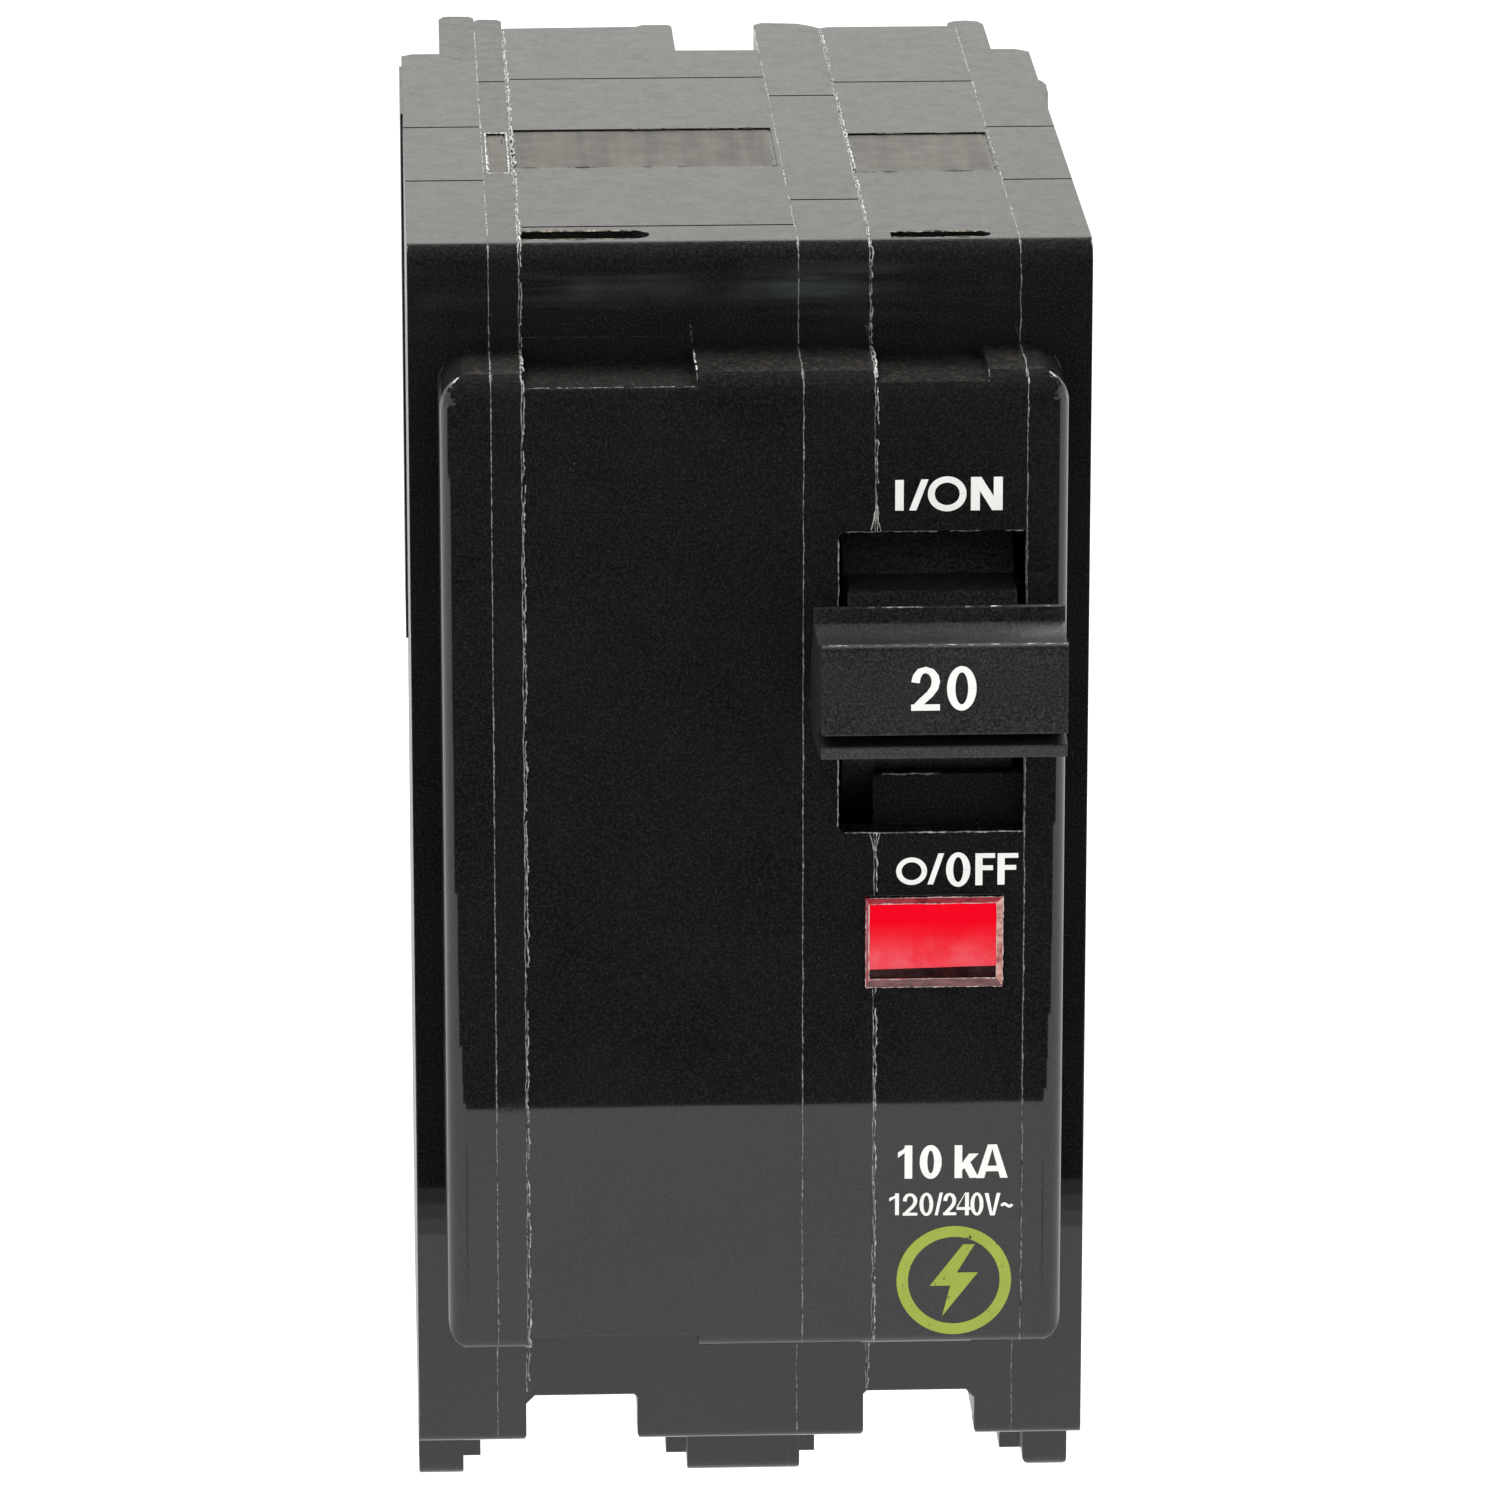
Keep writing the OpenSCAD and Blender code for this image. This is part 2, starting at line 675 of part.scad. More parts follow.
// Steel channel around the bimetal, with two ears for the armature pin
module magnet_yoke(side) place() color("#6f7376") on_side(side) difference() {
    union() {
        block([5.8, 14.2], [50, 51.2], [14, 26]);
        for (x = [[5.8, 6.8], [13.2, 14.2]]) {
            block(x, [46.2, 50.4], [14, 26]);
            side_prism(x[0], x[1]) union() {
                polygon([[43, 12.6], [47, 14], [47, 18], [43, 15.8]]);
                translate(armature_pivot) circle(r = 1.9);
            }
        }
    }
    rod(0, 20, armature_pivot, armature_pin_r + 0.02);
}
module magnet_yoke_left() magnet_yoke(LEFT);
module magnet_yoke_right() magnet_yoke(RIGHT);

module armature_pin(side) place() color("#b9babc") on_side(side)
    rod(5.6, 14.4, armature_pivot, armature_pin_r);
module armature_pin_left() armature_pin(LEFT);
module armature_pin_right() armature_pin(RIGHT);

// Hinged steel plate with the latch ledge for the trip lever
module armature(side) place() color("#84888b") on_side(side) difference() {
    union() {
        rod(7, 13, armature_pivot, 1.6);
        block([7, 13], [42.6, 43.6], [14.2, 33.4]);
        block([7, 15.2], [42.6, 43.6], [27, 33.4]);
        block([13.2, 15.2], [40.6, 42.7], [29.8, 31.4]);
    }
    rod(0, 20, armature_pivot, armature_pin_r + 0.06);
}
module armature_left() armature(LEFT);
module armature_right() armature(RIGHT);

module armature_spring(side) place() color("#c9ccd0") on_side(side)
    translate([pole_x, 43.9, 22]) rotate([-90, 0, 0]) coil(4.5, 1.3, 0.25, 4);
module armature_spring_left() armature_spring(LEFT);
module armature_spring_right() armature_spring(RIGHT);

// Bar across both poles with an upright finger and a rear finger at each pole
module common_trip_bar() place() color("#3a3b3d") {
    rod(-16.5, 16.5, bar_pivot, bar_r);
    for (s = [LEFT, RIGHT]) on_side(s) {
        side_prism(lever_x[0], lever_x[1]) polygon([[28.6, 18], [31.4, 18], [30.8, 26.4], [29.6, 26.4]]);
        side_prism(8, 10) polygon([[30, 17.2], [41.6, 18], [41.6, 19.4], [30, 19.8]]);
    }
}

// ---- load side -----------------------------------------------------------------

module load_terminal(side) place() color("#c8b27a") on_side(side) difference() {
    union() {
        block([5.2, 16.2], [plate_y, plate_y + 1.8], [-3.6, 9.9]);
        block([7, 12.4], [plate_y, 51.4], [8.4, 9.9]);
        translate([pole_x, plate_y, screw_z]) rotate([-90, 0, 0]) cylinder(h = 3.4, r = 3.4);
    }
    translate([pole_x, 20, screw_z]) rotate([-90, 0, 0]) cylinder(h = 20, r = screw_r + fit);
}
module load_terminal_left() load_terminal(LEFT);
module load_terminal_right() load_terminal(RIGHT);

module wire_saddle(side) place() color("#a9abad") on_side(side) difference() {
    union() {
        block([5.2, 15], [saddle_y, saddle_y + 1.4], [-3.2, 6.4]);
        for (x = [5.2, 14.2]) block([x, x + 0.8], [saddle_y - 1.6, saddle_y + 0.5], [-2, 5.2]);
    }
    translate([pole_x, 10, screw_z]) rotate([-90, 0, 0]) cylinder(h = 20, r = screw_r + 0.2);
}
module wire_saddle_left() wire_saddle(LEFT);
module wire_saddle_right() wire_saddle(RIGHT);

module terminal_screw(side) place() color("#b6a063") on_side(side)
    translate([pole_x, saddle_y - 0.1, screw_z]) rotate([-90, 0, 0]) {
        difference() {
            translate([0, 0, -3.4]) cylinder(h = 3.4, r = 3.5);
            for (a = [0, 90]) rotate([0, 0, a + 20])
                translate([-2.3, -0.5, -4]) cube([4.6, 1, 2]);
        }
        translate([0, 0, -0.1]) cylinder(h = 13, r = screw_r);
    }
module terminal_screw_left() terminal_screw(LEFT);
module terminal_screw_right() terminal_screw(RIGHT);

// Braid from the contact arm's side to the head of the bimetal
braid_route = [
    [7.75, 21, 44.5], [7.7, 23, 43], [7.4, 26, 40.5], [7.2, 29, 38.6], [7.1, 32, 37.4], [7.1, 35, 36.6],
    [7.2, 38, 36], [7.3, 41, 35.8], [7.5, 43.5, 35.8], [7.9, 45.5, 35.6], [8.6, 47, 34.8], [9.2, 47.6, 33.4],
    [9.5, 47.7, 31.6], [9.6, 47.7, 29.6]
];
module braid(side) place() color("#b5683a") on_side(side) sweep(braid_route, 0.85, [1, 0.2, 0.1]);
module braid_left() braid(LEFT);
module braid_right() braid(RIGHT);

module calibration_screw(side) place() color("#a2a4a6") on_side(side)
    translate([pole_x, 51.6, 9.2]) rotate([-90, 0, 0]) difference() {
        cylinder(h = 4.6, r = 1.5);
        translate([-2, -0.25, 3.8]) cube([4, 0.5, 2]);
    }
module calibration_screw_left() calibration_screw(LEFT);
module calibration_screw_right() calibration_screw(RIGHT);

// Spring strip in front of the rail slot, with a small detent
module rail_clip(side) place() color("#8d9195") on_side(side) side_prism(5.4, 14.2) polygon([
    [rail_slot[0] + 0.02, -0.02], [rail_slot[0] + 0.02, -5.0], [rail_slot[0] + 0.4, -5.4],
    [rail_slot[0] + 0.9, -4.2], [rail_slot[0] + 0.52, -3.2], [rail_slot[0] + 0.52, -0.52],
    [rail_slot[0] + 2.6, -0.52], [rail_slot[0] + 2.6, -0.02]
]);
module rail_clip_left() rail_clip(LEFT);
module rail_clip_right() rail_clip(RIGHT);

left_side_cover();
left_spacer_plate();
left_pole_case();
centre_cover();
right_pole_case();
right_side_cover();
case_rivets();
trip_window_lens();
handle();
drive_shaft();
left_crank();
blade_pin_left();
blade_pin_right();
moving_blade_left();
moving_blade_right();
moving_contact_left();
moving_contact_right();
fixed_contact_left();
fixed_contact_right();
line_jaw_left();
line_jaw_right();
jaw_spring_left();
jaw_spring_right();
arc_plates_left();
arc_plates_right();
arc_liner_left();
arc_liner_right();
trip_pivot_pins();
trip_lever_left();
trip_lever_right();
trip_flag();
toggle_spring_left();
toggle_spring_right();
bimetal_left();
bimetal_right();
magnet_yoke_left();
magnet_yoke_right();
armature_left();
armature_right();
armature_pin_left();
armature_pin_right();
armature_spring_left();
armature_spring_right();
common_trip_bar();
load_terminal_left();
load_terminal_right();
braid_left();
braid_right();
wire_saddle_left();
wire_saddle_right();
terminal_screw_left();
terminal_screw_right();
calibration_screw_left();
calibration_screw_right();
rail_clip_left();
rail_clip_right();
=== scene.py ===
import json
import math

import bpy
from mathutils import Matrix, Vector, noise


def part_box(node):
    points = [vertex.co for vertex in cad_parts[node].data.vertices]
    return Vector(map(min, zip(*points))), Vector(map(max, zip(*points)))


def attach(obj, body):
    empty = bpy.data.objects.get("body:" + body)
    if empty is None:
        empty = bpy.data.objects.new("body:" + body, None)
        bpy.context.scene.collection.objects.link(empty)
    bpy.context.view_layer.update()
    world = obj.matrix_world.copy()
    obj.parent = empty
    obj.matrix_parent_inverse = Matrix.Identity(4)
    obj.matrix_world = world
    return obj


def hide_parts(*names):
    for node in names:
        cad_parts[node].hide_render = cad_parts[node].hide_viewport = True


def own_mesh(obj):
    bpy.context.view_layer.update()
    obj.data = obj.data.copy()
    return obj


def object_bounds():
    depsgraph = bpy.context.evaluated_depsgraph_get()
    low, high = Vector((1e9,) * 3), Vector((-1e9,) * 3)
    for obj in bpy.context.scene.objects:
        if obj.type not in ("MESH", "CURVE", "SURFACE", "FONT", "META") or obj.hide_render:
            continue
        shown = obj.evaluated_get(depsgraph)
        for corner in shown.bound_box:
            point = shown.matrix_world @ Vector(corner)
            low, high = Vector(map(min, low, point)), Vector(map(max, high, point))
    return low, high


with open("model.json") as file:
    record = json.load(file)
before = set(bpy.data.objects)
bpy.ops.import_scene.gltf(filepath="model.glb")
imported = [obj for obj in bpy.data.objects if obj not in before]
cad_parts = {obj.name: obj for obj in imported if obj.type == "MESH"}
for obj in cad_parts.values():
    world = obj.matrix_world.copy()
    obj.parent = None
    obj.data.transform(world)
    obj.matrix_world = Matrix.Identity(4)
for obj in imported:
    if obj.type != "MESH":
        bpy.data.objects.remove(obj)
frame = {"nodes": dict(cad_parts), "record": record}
CAD_BOX = [list(map(float, corner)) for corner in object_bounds()]

MM = 0.001
LOW, HIGH = (Vector(corner) for corner in CAD_BOX)

# ---- places taken from the frame ---------------------------------------------

LEFT_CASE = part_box("left_pole_case")
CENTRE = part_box("centre_cover")
RIGHT_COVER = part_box("right_side_cover")
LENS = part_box("trip_window_lens")
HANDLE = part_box("handle")

NOSE_Y = LEFT_CASE[0][1]
NOSE_RISE = 6.4                  # how far the nose stands ahead of the shoulder, in mm
TOP = 70.6                       # height of the shoulder's front face, in mm
ZERO = Vector((0, NOSE_Y + NOSE_RISE * MM, LEFT_CASE[1][2] - TOP * MM))


def at(x, y, z):
    """A point given in mm from the lower edge of the shoulder's front face, in the frame."""
    return ZERO + Vector((x, y, z)) * MM


# Across the poles (X), back from the shoulder's front face (Y) and up from its lower edge (Z), in mm
SEAM_A = -14.54                  # the cover's nose part ends here
SEAM_B = LEFT_CASE[0][0] / MM
SEAM_C = CENTRE[0][0] / MM
SEAM_D = CENTRE[1][0] / MM
SEAM_E = RIGHT_COVER[0][0] / MM
LENS_SIDE, LENS_END = 0.6, 0.5   # the lens's flange runs this far behind the nose
LENS_X = (LENS[0][0] / MM + LENS_SIDE, LENS[1][0] / MM - LENS_SIDE)
LENS_Z = tuple((LENS[i][2] - ZERO[2]) / MM + s for i, s in ((0, LENS_END), (1, -LENS_END)))
GRIP_X = (HANDLE[0][0] / MM, HANDLE[1][0] / MM)
GRIP_FACE = (HANDLE[0][1] - ZERO[1]) / MM
SLOT_X = (4.6, SEAM_E)
SLOT_Z = (38.4, 55.8)
NOSE_Z = (7.9, 64.8)
NOSE_LOW_R, NOSE_TOP_R, SHOULDER_R = 0.9, 1.9, 1.3
NOTCH_TOP = 3.0                  # seams B and D end at the notches in the shoulder's lower edge
BACK_TOP = 57.0                  # how far back the seams run on the line-end face
FRONT = Vector((0, -1, 0))
UP = Vector((0, 0, 1))
LEVEL = 0.1                      # half the height range of the materials' ramps, in metres


# ---- material helpers ---------------------------------------------------------

class Nodes:
    """A Principled material with short calls for the nodes used here."""

    def __init__(self, name):
        self.material = bpy.data.materials.new(name)
        self.material.use_nodes = True
        self.tree = self.material.node_tree
        self.shader = self.tree.nodes["Principled BSDF"]
        self.coords = self.tree.nodes.new("ShaderNodeTexCoord").outputs["Object"]

    def link(self, a, b):
        self.tree.links.new(a, b)

    def feed(self, socket, value):
        """Link another node's output to a socket, or set a plain value on it."""
        if hasattr(value, "is_linked"):
            self.link(value, socket)
        else:
            socket.default_value = (*value, 1.0) if isinstance(value, tuple) else value

    def put(self, **values):
        for key, value in values.items():
            self.shader.inputs[key.replace("_", " ")].default_value = value

    def stretched(self, stretch):
        if not stretch:
            return self.coords
        mapping = self.tree.nodes.new("ShaderNodeMapping")
        mapping.inputs["Scale"].default_value = stretch
        self.link(self.coords, mapping.inputs["Vector"])
        return mapping.outputs["Vector"]

    def noise(self, scale, detail=4.0, rough=0.55, stretch=None):
        node = self.tree.nodes.new("ShaderNodeTexNoise")
        node.inputs["Scale"].default_value = scale
        node.inputs["Detail"].default_value = detail
        node.inputs["Roughness"].default_value = rough
        self.link(self.stretched(stretch), node.inputs["Vector"])
        return node.outputs["Fac"]

    def cells(self, scale):
        node = self.tree.nodes.new("ShaderNodeTexVoronoi")
        node.inputs["Scale"].default_value = scale
        self.link(self.coords, node.inputs["Vector"])
        return node.outputs["Distance"]

    def ramp(self, value, stops):
        node = self.tree.nodes.new("ShaderNodeValToRGB")
        elements = node.color_ramp.elements
        while len(elements) < len(stops):
            elements.new(0.5)
        for element, (position, colour) in zip(elements, stops):
            element.position = position
            shade = colour if isinstance(colour, tuple) else (colour, colour, colour)
            element.color = (*shade, 1.0)
        self.link(value, node.inputs["Fac"])
        return node.outputs["Color"]

    def mix(self, factor, a, b):
        node = self.tree.nodes.new("ShaderNodeMix")
        node.data_type = "RGBA"
        for socket, value in ((0, factor), (6, a), (7, b)):
            self.feed(node.inputs[socket], value)
        return node.outputs[2]

    def maths(self, operation, a, b):
        node = self.tree.nodes.new("ShaderNodeMath")
        node.operation = operation
        for socket, value in ((0, a), (1, b)):
            self.feed(node.inputs[socket], value)
        return node.outputs[0]

    def facing(self, axis, sign=1):
        """1 on faces that look along the axis, 0 on the others."""
        split = self.tree.nodes.new("ShaderNodeSeparateXYZ")
        self.link(self.coords.node.outputs["Normal"], split.inputs[0])
        along = self.maths("MULTIPLY", split.outputs[axis], sign)
        return self.ramp(along, [(0.9, 0.0), (0.98, 1.0)])

    def level(self, heights, values):
        """A value that follows the height, which is given in mm above the shoulder's lower edge."""
        split = self.tree.nodes.new("ShaderNodeSeparateXYZ")
        self.link(self.coords, split.inputs[0])
        height = self.maths("MULTIPLY", self.maths("ADD", split.outputs["Z"], LEVEL), 0.5 / LEVEL)
        places = [(at(0, 0, z)[2] + LEVEL) / (2 * LEVEL) for z in heights]
        return self.ramp(height, list(zip(places, values)))

    def painted_reflection_streaks(self):
        """Painted reflection: pale streaks of haze along the top of the shoulder's front, fading out
        downwards.
        """
        fade = self.level((65.2, 67.4, 68.7, 69.6), (0.0, 0.28, 1.0, 0.0))
        streak = self.ramp(self.noise(60.0, 6.0, 0.65, (1, 1, 16)), [(0.44, 0.0), (0.72, 1.0)])
        blotch = self.ramp(self.noise(75.0, 3.0), [(0.42, 0.0), (0.62, 1.0)])
        patchy = self.maths("MULTIPLY", streak, blotch)
        return self.maths("MULTIPLY", self.maths("MULTIPLY", fade, patchy), self.facing("Y", -1))

    def rounded(self, radius):
        """Edges softened in shading by the radius that the mould leaves."""
        node = self.tree.nodes.new("ShaderNodeBevel")
        node.samples = 4
        node.inputs["Radius"].default_value = radius
        return node.outputs["Normal"]

    def bump(self, *layers, normal=None):
        """Each layer is (height, strength, distance). Strength may be a value that varies."""
        for height, strength, distance in layers:
            node = self.tree.nodes.new("ShaderNodeBump")
            self.feed(node.inputs["Strength"], strength)
            node.inputs["Distance"].default_value = distance
            self.link(height, node.inputs["Height"])
            if normal:
                self.link(normal, node.inputs["Normal"])
            normal = node.outputs["Normal"]
        self.link(normal, self.shader.inputs["Normal"])

    def colour(self, value):
        self.link(value, self.shader.inputs["Base Color"])

    def rough(self, value):
        self.link(value, self.shader.inputs["Roughness"])


SIDE_GLOSS = (0.26, 0.4)
GRIT_TAN = (0.045, 0.036, 0.024)


def moulded_black(name, low, high, rough, grain, wave=0.02, dust=0.06, edge=0.12, top=None,
                  speckle=0.022, reflection_haze=None, ior=1.53):
    """Moulded thermoset: near-black, faintly mottled, with dust specks, fine grain and soft edges.
    Where a top roughness is given, the sides are duller and the line-end face is dull and gritty.
    A painted reflection, a pale haze colour, lies in streaks along the top of the shoulder's front."""
    m = Nodes(name)
    mottle = m.noise(150.0, 5.0)
    specks = m.ramp(m.cells(1500.0), [(0.0, 1.0), (0.1, 0.0)])
    scatter = m.ramp(m.noise(330.0, 3.0), [(0.5, 0.0), (0.66, 1.0)])
    base = m.ramp(mottle, [(0.3, (low, low, low * 1.06)), (0.7, (high, high, high * 1.02))])
    fleck = m.ramp(m.noise(7000.0, 3.0, 0.7), [(0.42, 0.0), (0.75, 1.0)])
    base = m.mix(fleck, base, (speckle, speckle, speckle * 1.03))
    colour = m.mix(m.maths("MULTIPLY", specks, scatter), base, (dust, dust * 0.97, dust * 0.93))
    gloss = m.ramp(m.noise(70.0, 6.0, 0.65), [(0.25, rough[0]), (0.8, rough[1])])
    strength = grain
    if top:
        side = m.maths("MAXIMUM", m.facing("X"), m.facing("X", -1))
        satin = m.ramp(m.noise(500.0, 5.0, 0.7), [(0.3, SIDE_GLOSS[0]), (0.7, SIDE_GLOSS[1])])
        gloss = m.mix(side, gloss, satin)
        up = m.facing("Z")
        grit = m.ramp(m.noise(3200.0, 4.0, 0.7), [(0.5, 0.0), (0.72, 1.0)])
        colour = m.mix(m.maths("MULTIPLY", grit, up), colour, GRIT_TAN)
        dull = m.ramp(m.noise(900.0, 6.0, 0.7), [(0.3, top[0]), (0.7, top[1])])
        gloss = m.mix(up, gloss, dull)
        strength = m.maths("ADD", m.maths("MULTIPLY", m.maths("MAXIMUM", up, side), 0.3), grain)
    # painted reflection: a pale haze streaked along the top of the shoulder's front
    if reflection_haze:
        colour = m.mix(m.painted_reflection_streaks(), colour, reflection_haze)
    m.colour(colour)
    m.rough(gloss)
    fine, waves = m.noise(2600.0, 3.0, 0.6), m.noise(45.0, 2.0)
    m.bump((fine, strength, 0.00003), (waves, wave, 0.0004), normal=m.rounded(edge * MM))
    m.put(IOR=ior)
    return m.material


def metal(name, colour, rough=(0.25, 0.42), brushed=None):
    """Bare or plated metal with fine streaks, drawn out along the axes that brushed leaves low."""
    m = Nodes(name)
    streak = m.noise(700.0, 4.0, 0.6, brushed)
    shade = tuple(c * 0.75 for c in colour)
    m.colour(m.ramp(streak, [(0.3, shade), (0.75, colour)]))
    m.rough(m.ramp(m.noise(260.0, 4.0), [(0.3, rough[0]), (0.75, rough[1])]))
    m.bump((streak, 0.12, 0.00004))
    m.put(Metallic=1.0)
    return m.material


# The case carries a painted reflection haze along the top of the shoulder's front.
CASE_BLACK = moulded_black("case_black", 0.0045, 0.0085, (0.012, 0.03), 0.0,
                           top=(0.16, 0.3), reflection_haze=(0.085, 0.098, 0.1))
PLATE_BLACK = moulded_black("spacer_black", 0.006, 0.0105, (0.02, 0.05), 0.02, top=(0.2, 0.34))
HANDLE_BLACK = moulded_black("handle_black", 0.003, 0.009, (0.36, 0.54), 0.75,
                             wave=0.1, dust=0.1, edge=0.2, speckle=0.05, ior=1.45)
INNER_BLACK = moulded_black("inner_black", 0.015, 0.025, (0.5, 0.65), 0.3)
STEEL = metal("bright_steel", (0.6, 0.6, 0.61), (0.2, 0.36), (1, 6, 1))
SPRING = metal("spring_steel", (0.42, 0.43, 0.45), (0.28, 0.4), (1, 5, 1))
RIVET = metal("rivet_steel", (0.5, 0.49, 0.48), (0.35, 0.55))
ARC_STEEL = metal("arc_steel", (0.36, 0.36, 0.37), (0.4, 0.55), (6, 1, 1))
COPPER = metal("copper", (0.78, 0.38, 0.22), (0.25, 0.42), (1, 8, 1))
SILVER = metal("contact_silver", (0.86, 0.85, 0.8), (0.2, 0.35))
ZINC_YELLOW = metal("zinc_yellow", (0.68, 0.53, 0.26), (0.24, 0.4), (4, 1, 1))
BIMETAL = metal("bimetal_strip", (0.55, 0.47, 0.38), (0.28, 0.4), (1, 1, 8))


def glowing_red_flag():
    """Red plastic with a painted glow (emission) as if lit from within, paler and cloudy along its
    lower end.
    """
    m = Nodes("flag_red")
    m.colour(m.ramp(m.noise(300.0), [(0.3, (0.60, 0.003, 0.008)), (0.7, (0.80, 0.008, 0.022))]))
    m.rough(m.ramp(m.noise(150.0), [(0.3, 0.35), (0.7, 0.5)]))
    cloud = m.ramp(m.noise(420.0, 5.0, 0.65), [(0.35, 0.25), (0.65, 1.0)])
    lower_glow = m.maths("MULTIPLY", m.level((30.4, 31.0, 31.9), (0.9, 0.6, 0.0)), cloud)
    # painted glow: the flag's emission, paler pink along its lower end
    m.link(m.mix(lower_glow, (1.0, 0.002, 0.018), (1.0, 0.16, 0.2)), m.shader.inputs["Emission Color"])
    m.put(Specular_IOR_Level=0.05, Emission_Strength=0.93)
    return m.material


def clear_plastic():
    """The lens: clear, smooth and slightly wavy."""
    m = Nodes("clear_plastic")
    m.colour(m.ramp(m.noise(120.0), [(0.3, (0.96, 0.93, 0.93)), (0.7, (0.99, 0.97, 0.97))]))
    m.rough(m.ramp(m.noise(400.0), [(0.3, 0.0), (0.7, 0.04)]))
    m.bump((m.noise(260.0, 3.0), 0.05, 0.00005))
    m.put(Transmission_Weight=1.0, IOR=1.49)
    return m.material


def red_fibre():
    """Vulcanised fibre of the arc liners, with a rough grain."""
    m = Nodes("red_fibre")
    fibre = m.noise(900.0, 6.0, 0.7, (1, 1, 6))
    m.colour(m.ramp(fibre, [(0.3, (0.22, 0.07, 0.04)), (0.7, (0.36, 0.13, 0.08))]))
    m.rough(m.ramp(m.noise(500.0), [(0.3, 0.6), (0.7, 0.8)]))
    m.bump((m.noise(1500.0), 0.3, 0.0001))
    return m.material


def chipped_edge(name, dark, light, tint=(1.0, 1.0, 0.97)):
    """Stress-whitened plastic where the mouldings meet, from dark to nearly white; the same ramp
    also paints the pink highlight lines on the lens's ridges.
    """
    m = Nodes(name)
    bright = tuple(light * t for t in tint)
    m.colour(m.ramp(m.noise(2200.0, 5.0, 0.7), [(0.36, dark), (0.64, bright)]))
    m.rough(m.ramp(m.noise(1200.0), [(0.3, 0.4), (0.7, 0.65)]))
    return m.material


def painted_see_through_rim(name, dark, light):
    """Clear plastic's edge, painted with the light and shade that show through it."""
    m = Nodes(name)
    m.colour(m.ramp(m.noise(900.0, 5.0, 0.7, (1, 1, 3)), [(0.36, dark), (0.66, light)]))
    m.rough(m.ramp(m.noise(700.0), [(0.3, 0.12), (0.7, 0.3)]))
    m.bump((m.noise(1100.0), 0.15, 0.00005))
    return m.material


def print_ink(name, colour, wear=0.72):
    """Pad-printed ink with pin holes where the case shows through."""
    m = Nodes(name)
    holes = m.ramp(m.noise(2600.0, 3.0, 0.6), [(wear, 0.0), (wear + 0.04, 1.0)])
    shade = tuple(c * 0.9 for c in colour)
    ink = m.ramp(m.noise(500.0, 3.0), [(0.3, shade), (0.7, colour)])
    m.colour(m.mix(holes, ink, (0.02, 0.02, 0.02)))
    m.rough(m.ramp(m.noise(900.0), [(0.3, 0.45), (0.7, 0.6)]))
    return m.material


def ground_patch(name, gloss):
    """Matt brownish area left by the mould insert on the line-end face."""
    m = Nodes(name)
    streak = m.noise(900.0, 5.0, 0.65, (1, 0.06, 1))
    m.colour(m.ramp(streak, [(0.3, (0.016, 0.013, 0.010)), (0.7, (0.05, 0.042, 0.032))]))
    m.rough(m.ramp(m.noise(600.0), [(0.3, 0.3), (0.7, 0.42)]))
    m.bump((streak, 0.3, 0.00004))
    m.put(Specular_IOR_Level=gloss)
    return m.material


GLOW_FLAG = glowing_red_flag()
CLEAR = clear_plastic()
FIBRE = red_fibre()
CHIPPED = chipped_edge("edge_chipped", 0.06, 0.62)
HAIRLINE = chipped_edge("edge_hairline", 0.05, 0.34)
TANNED = chipped_edge("edge_tanned", 0.05, 0.2)
RUBBED = chipped_edge("edge_rubbed", 0.03, 0.26, (1.0, 0.86, 0.62))
# Painted highlight: pale pink lines where light catches the lens's ridges.
PINK_HIGHLIGHT = chipped_edge("edge_pink_highlight", 0.3, 0.85, (1.0, 0.72, 0.74))
# The lens's rims: painted light and shade seen through the lens, in lit, red, purple and dark
# copies.
RIM = painted_see_through_rim("rim_purple", (0.07, 0.02, 0.025), (0.2, 0.07, 0.08))
RIM_RED = painted_see_through_rim("rim_red", (0.2, 0.01, 0.02), (0.45, 0.05, 0.07))
RIM_LIT = painted_see_through_rim("rim_lit", (0.3, 0.04, 0.04), (0.75, 0.5, 0.42))
RIM_PAINTED_SHADE = painted_see_through_rim("rim_painted_shade", (0.004, 0.001, 0.001), (0.05, 0.008, 0.01))
WHITE_INK = print_ink("ink_white", (0.93, 0.93, 0.92))
GREEN_INK = print_ink("ink_green", (0.33, 0.43, 0.045), 0.66)
PATCH = ground_patch("patch_brown", 0.42)
PATCH_DARK = ground_patch("patch_dark", 0.3)

BY_SLOT = {
    "case_plastic": CASE_BLACK, "handle_plastic": HANDLE_BLACK, "inner_plastic": INNER_BLACK,
    "rivet_steel": RIVET, "clear_plastic": CLEAR, "flag_red": GLOW_FLAG, "pin_steel": STEEL,
    "copper": COPPER, "contact_silver": SILVER, "spring_steel": SPRING, "arc_steel": ARC_STEEL,
    "fibre": FIBRE, "zinc_yellow": ZINC_YELLOW, "bimetal_strip": BIMETAL, "zinc_clear": STEEL,
}

MOULDINGS = (
    "left_side_cover", "left_spacer_plate", "left_pole_case",
    "centre_cover", "right_pole_case", "right_side_cover",
)


# ---- the CAD nodes' finish -------------------------------------------------------

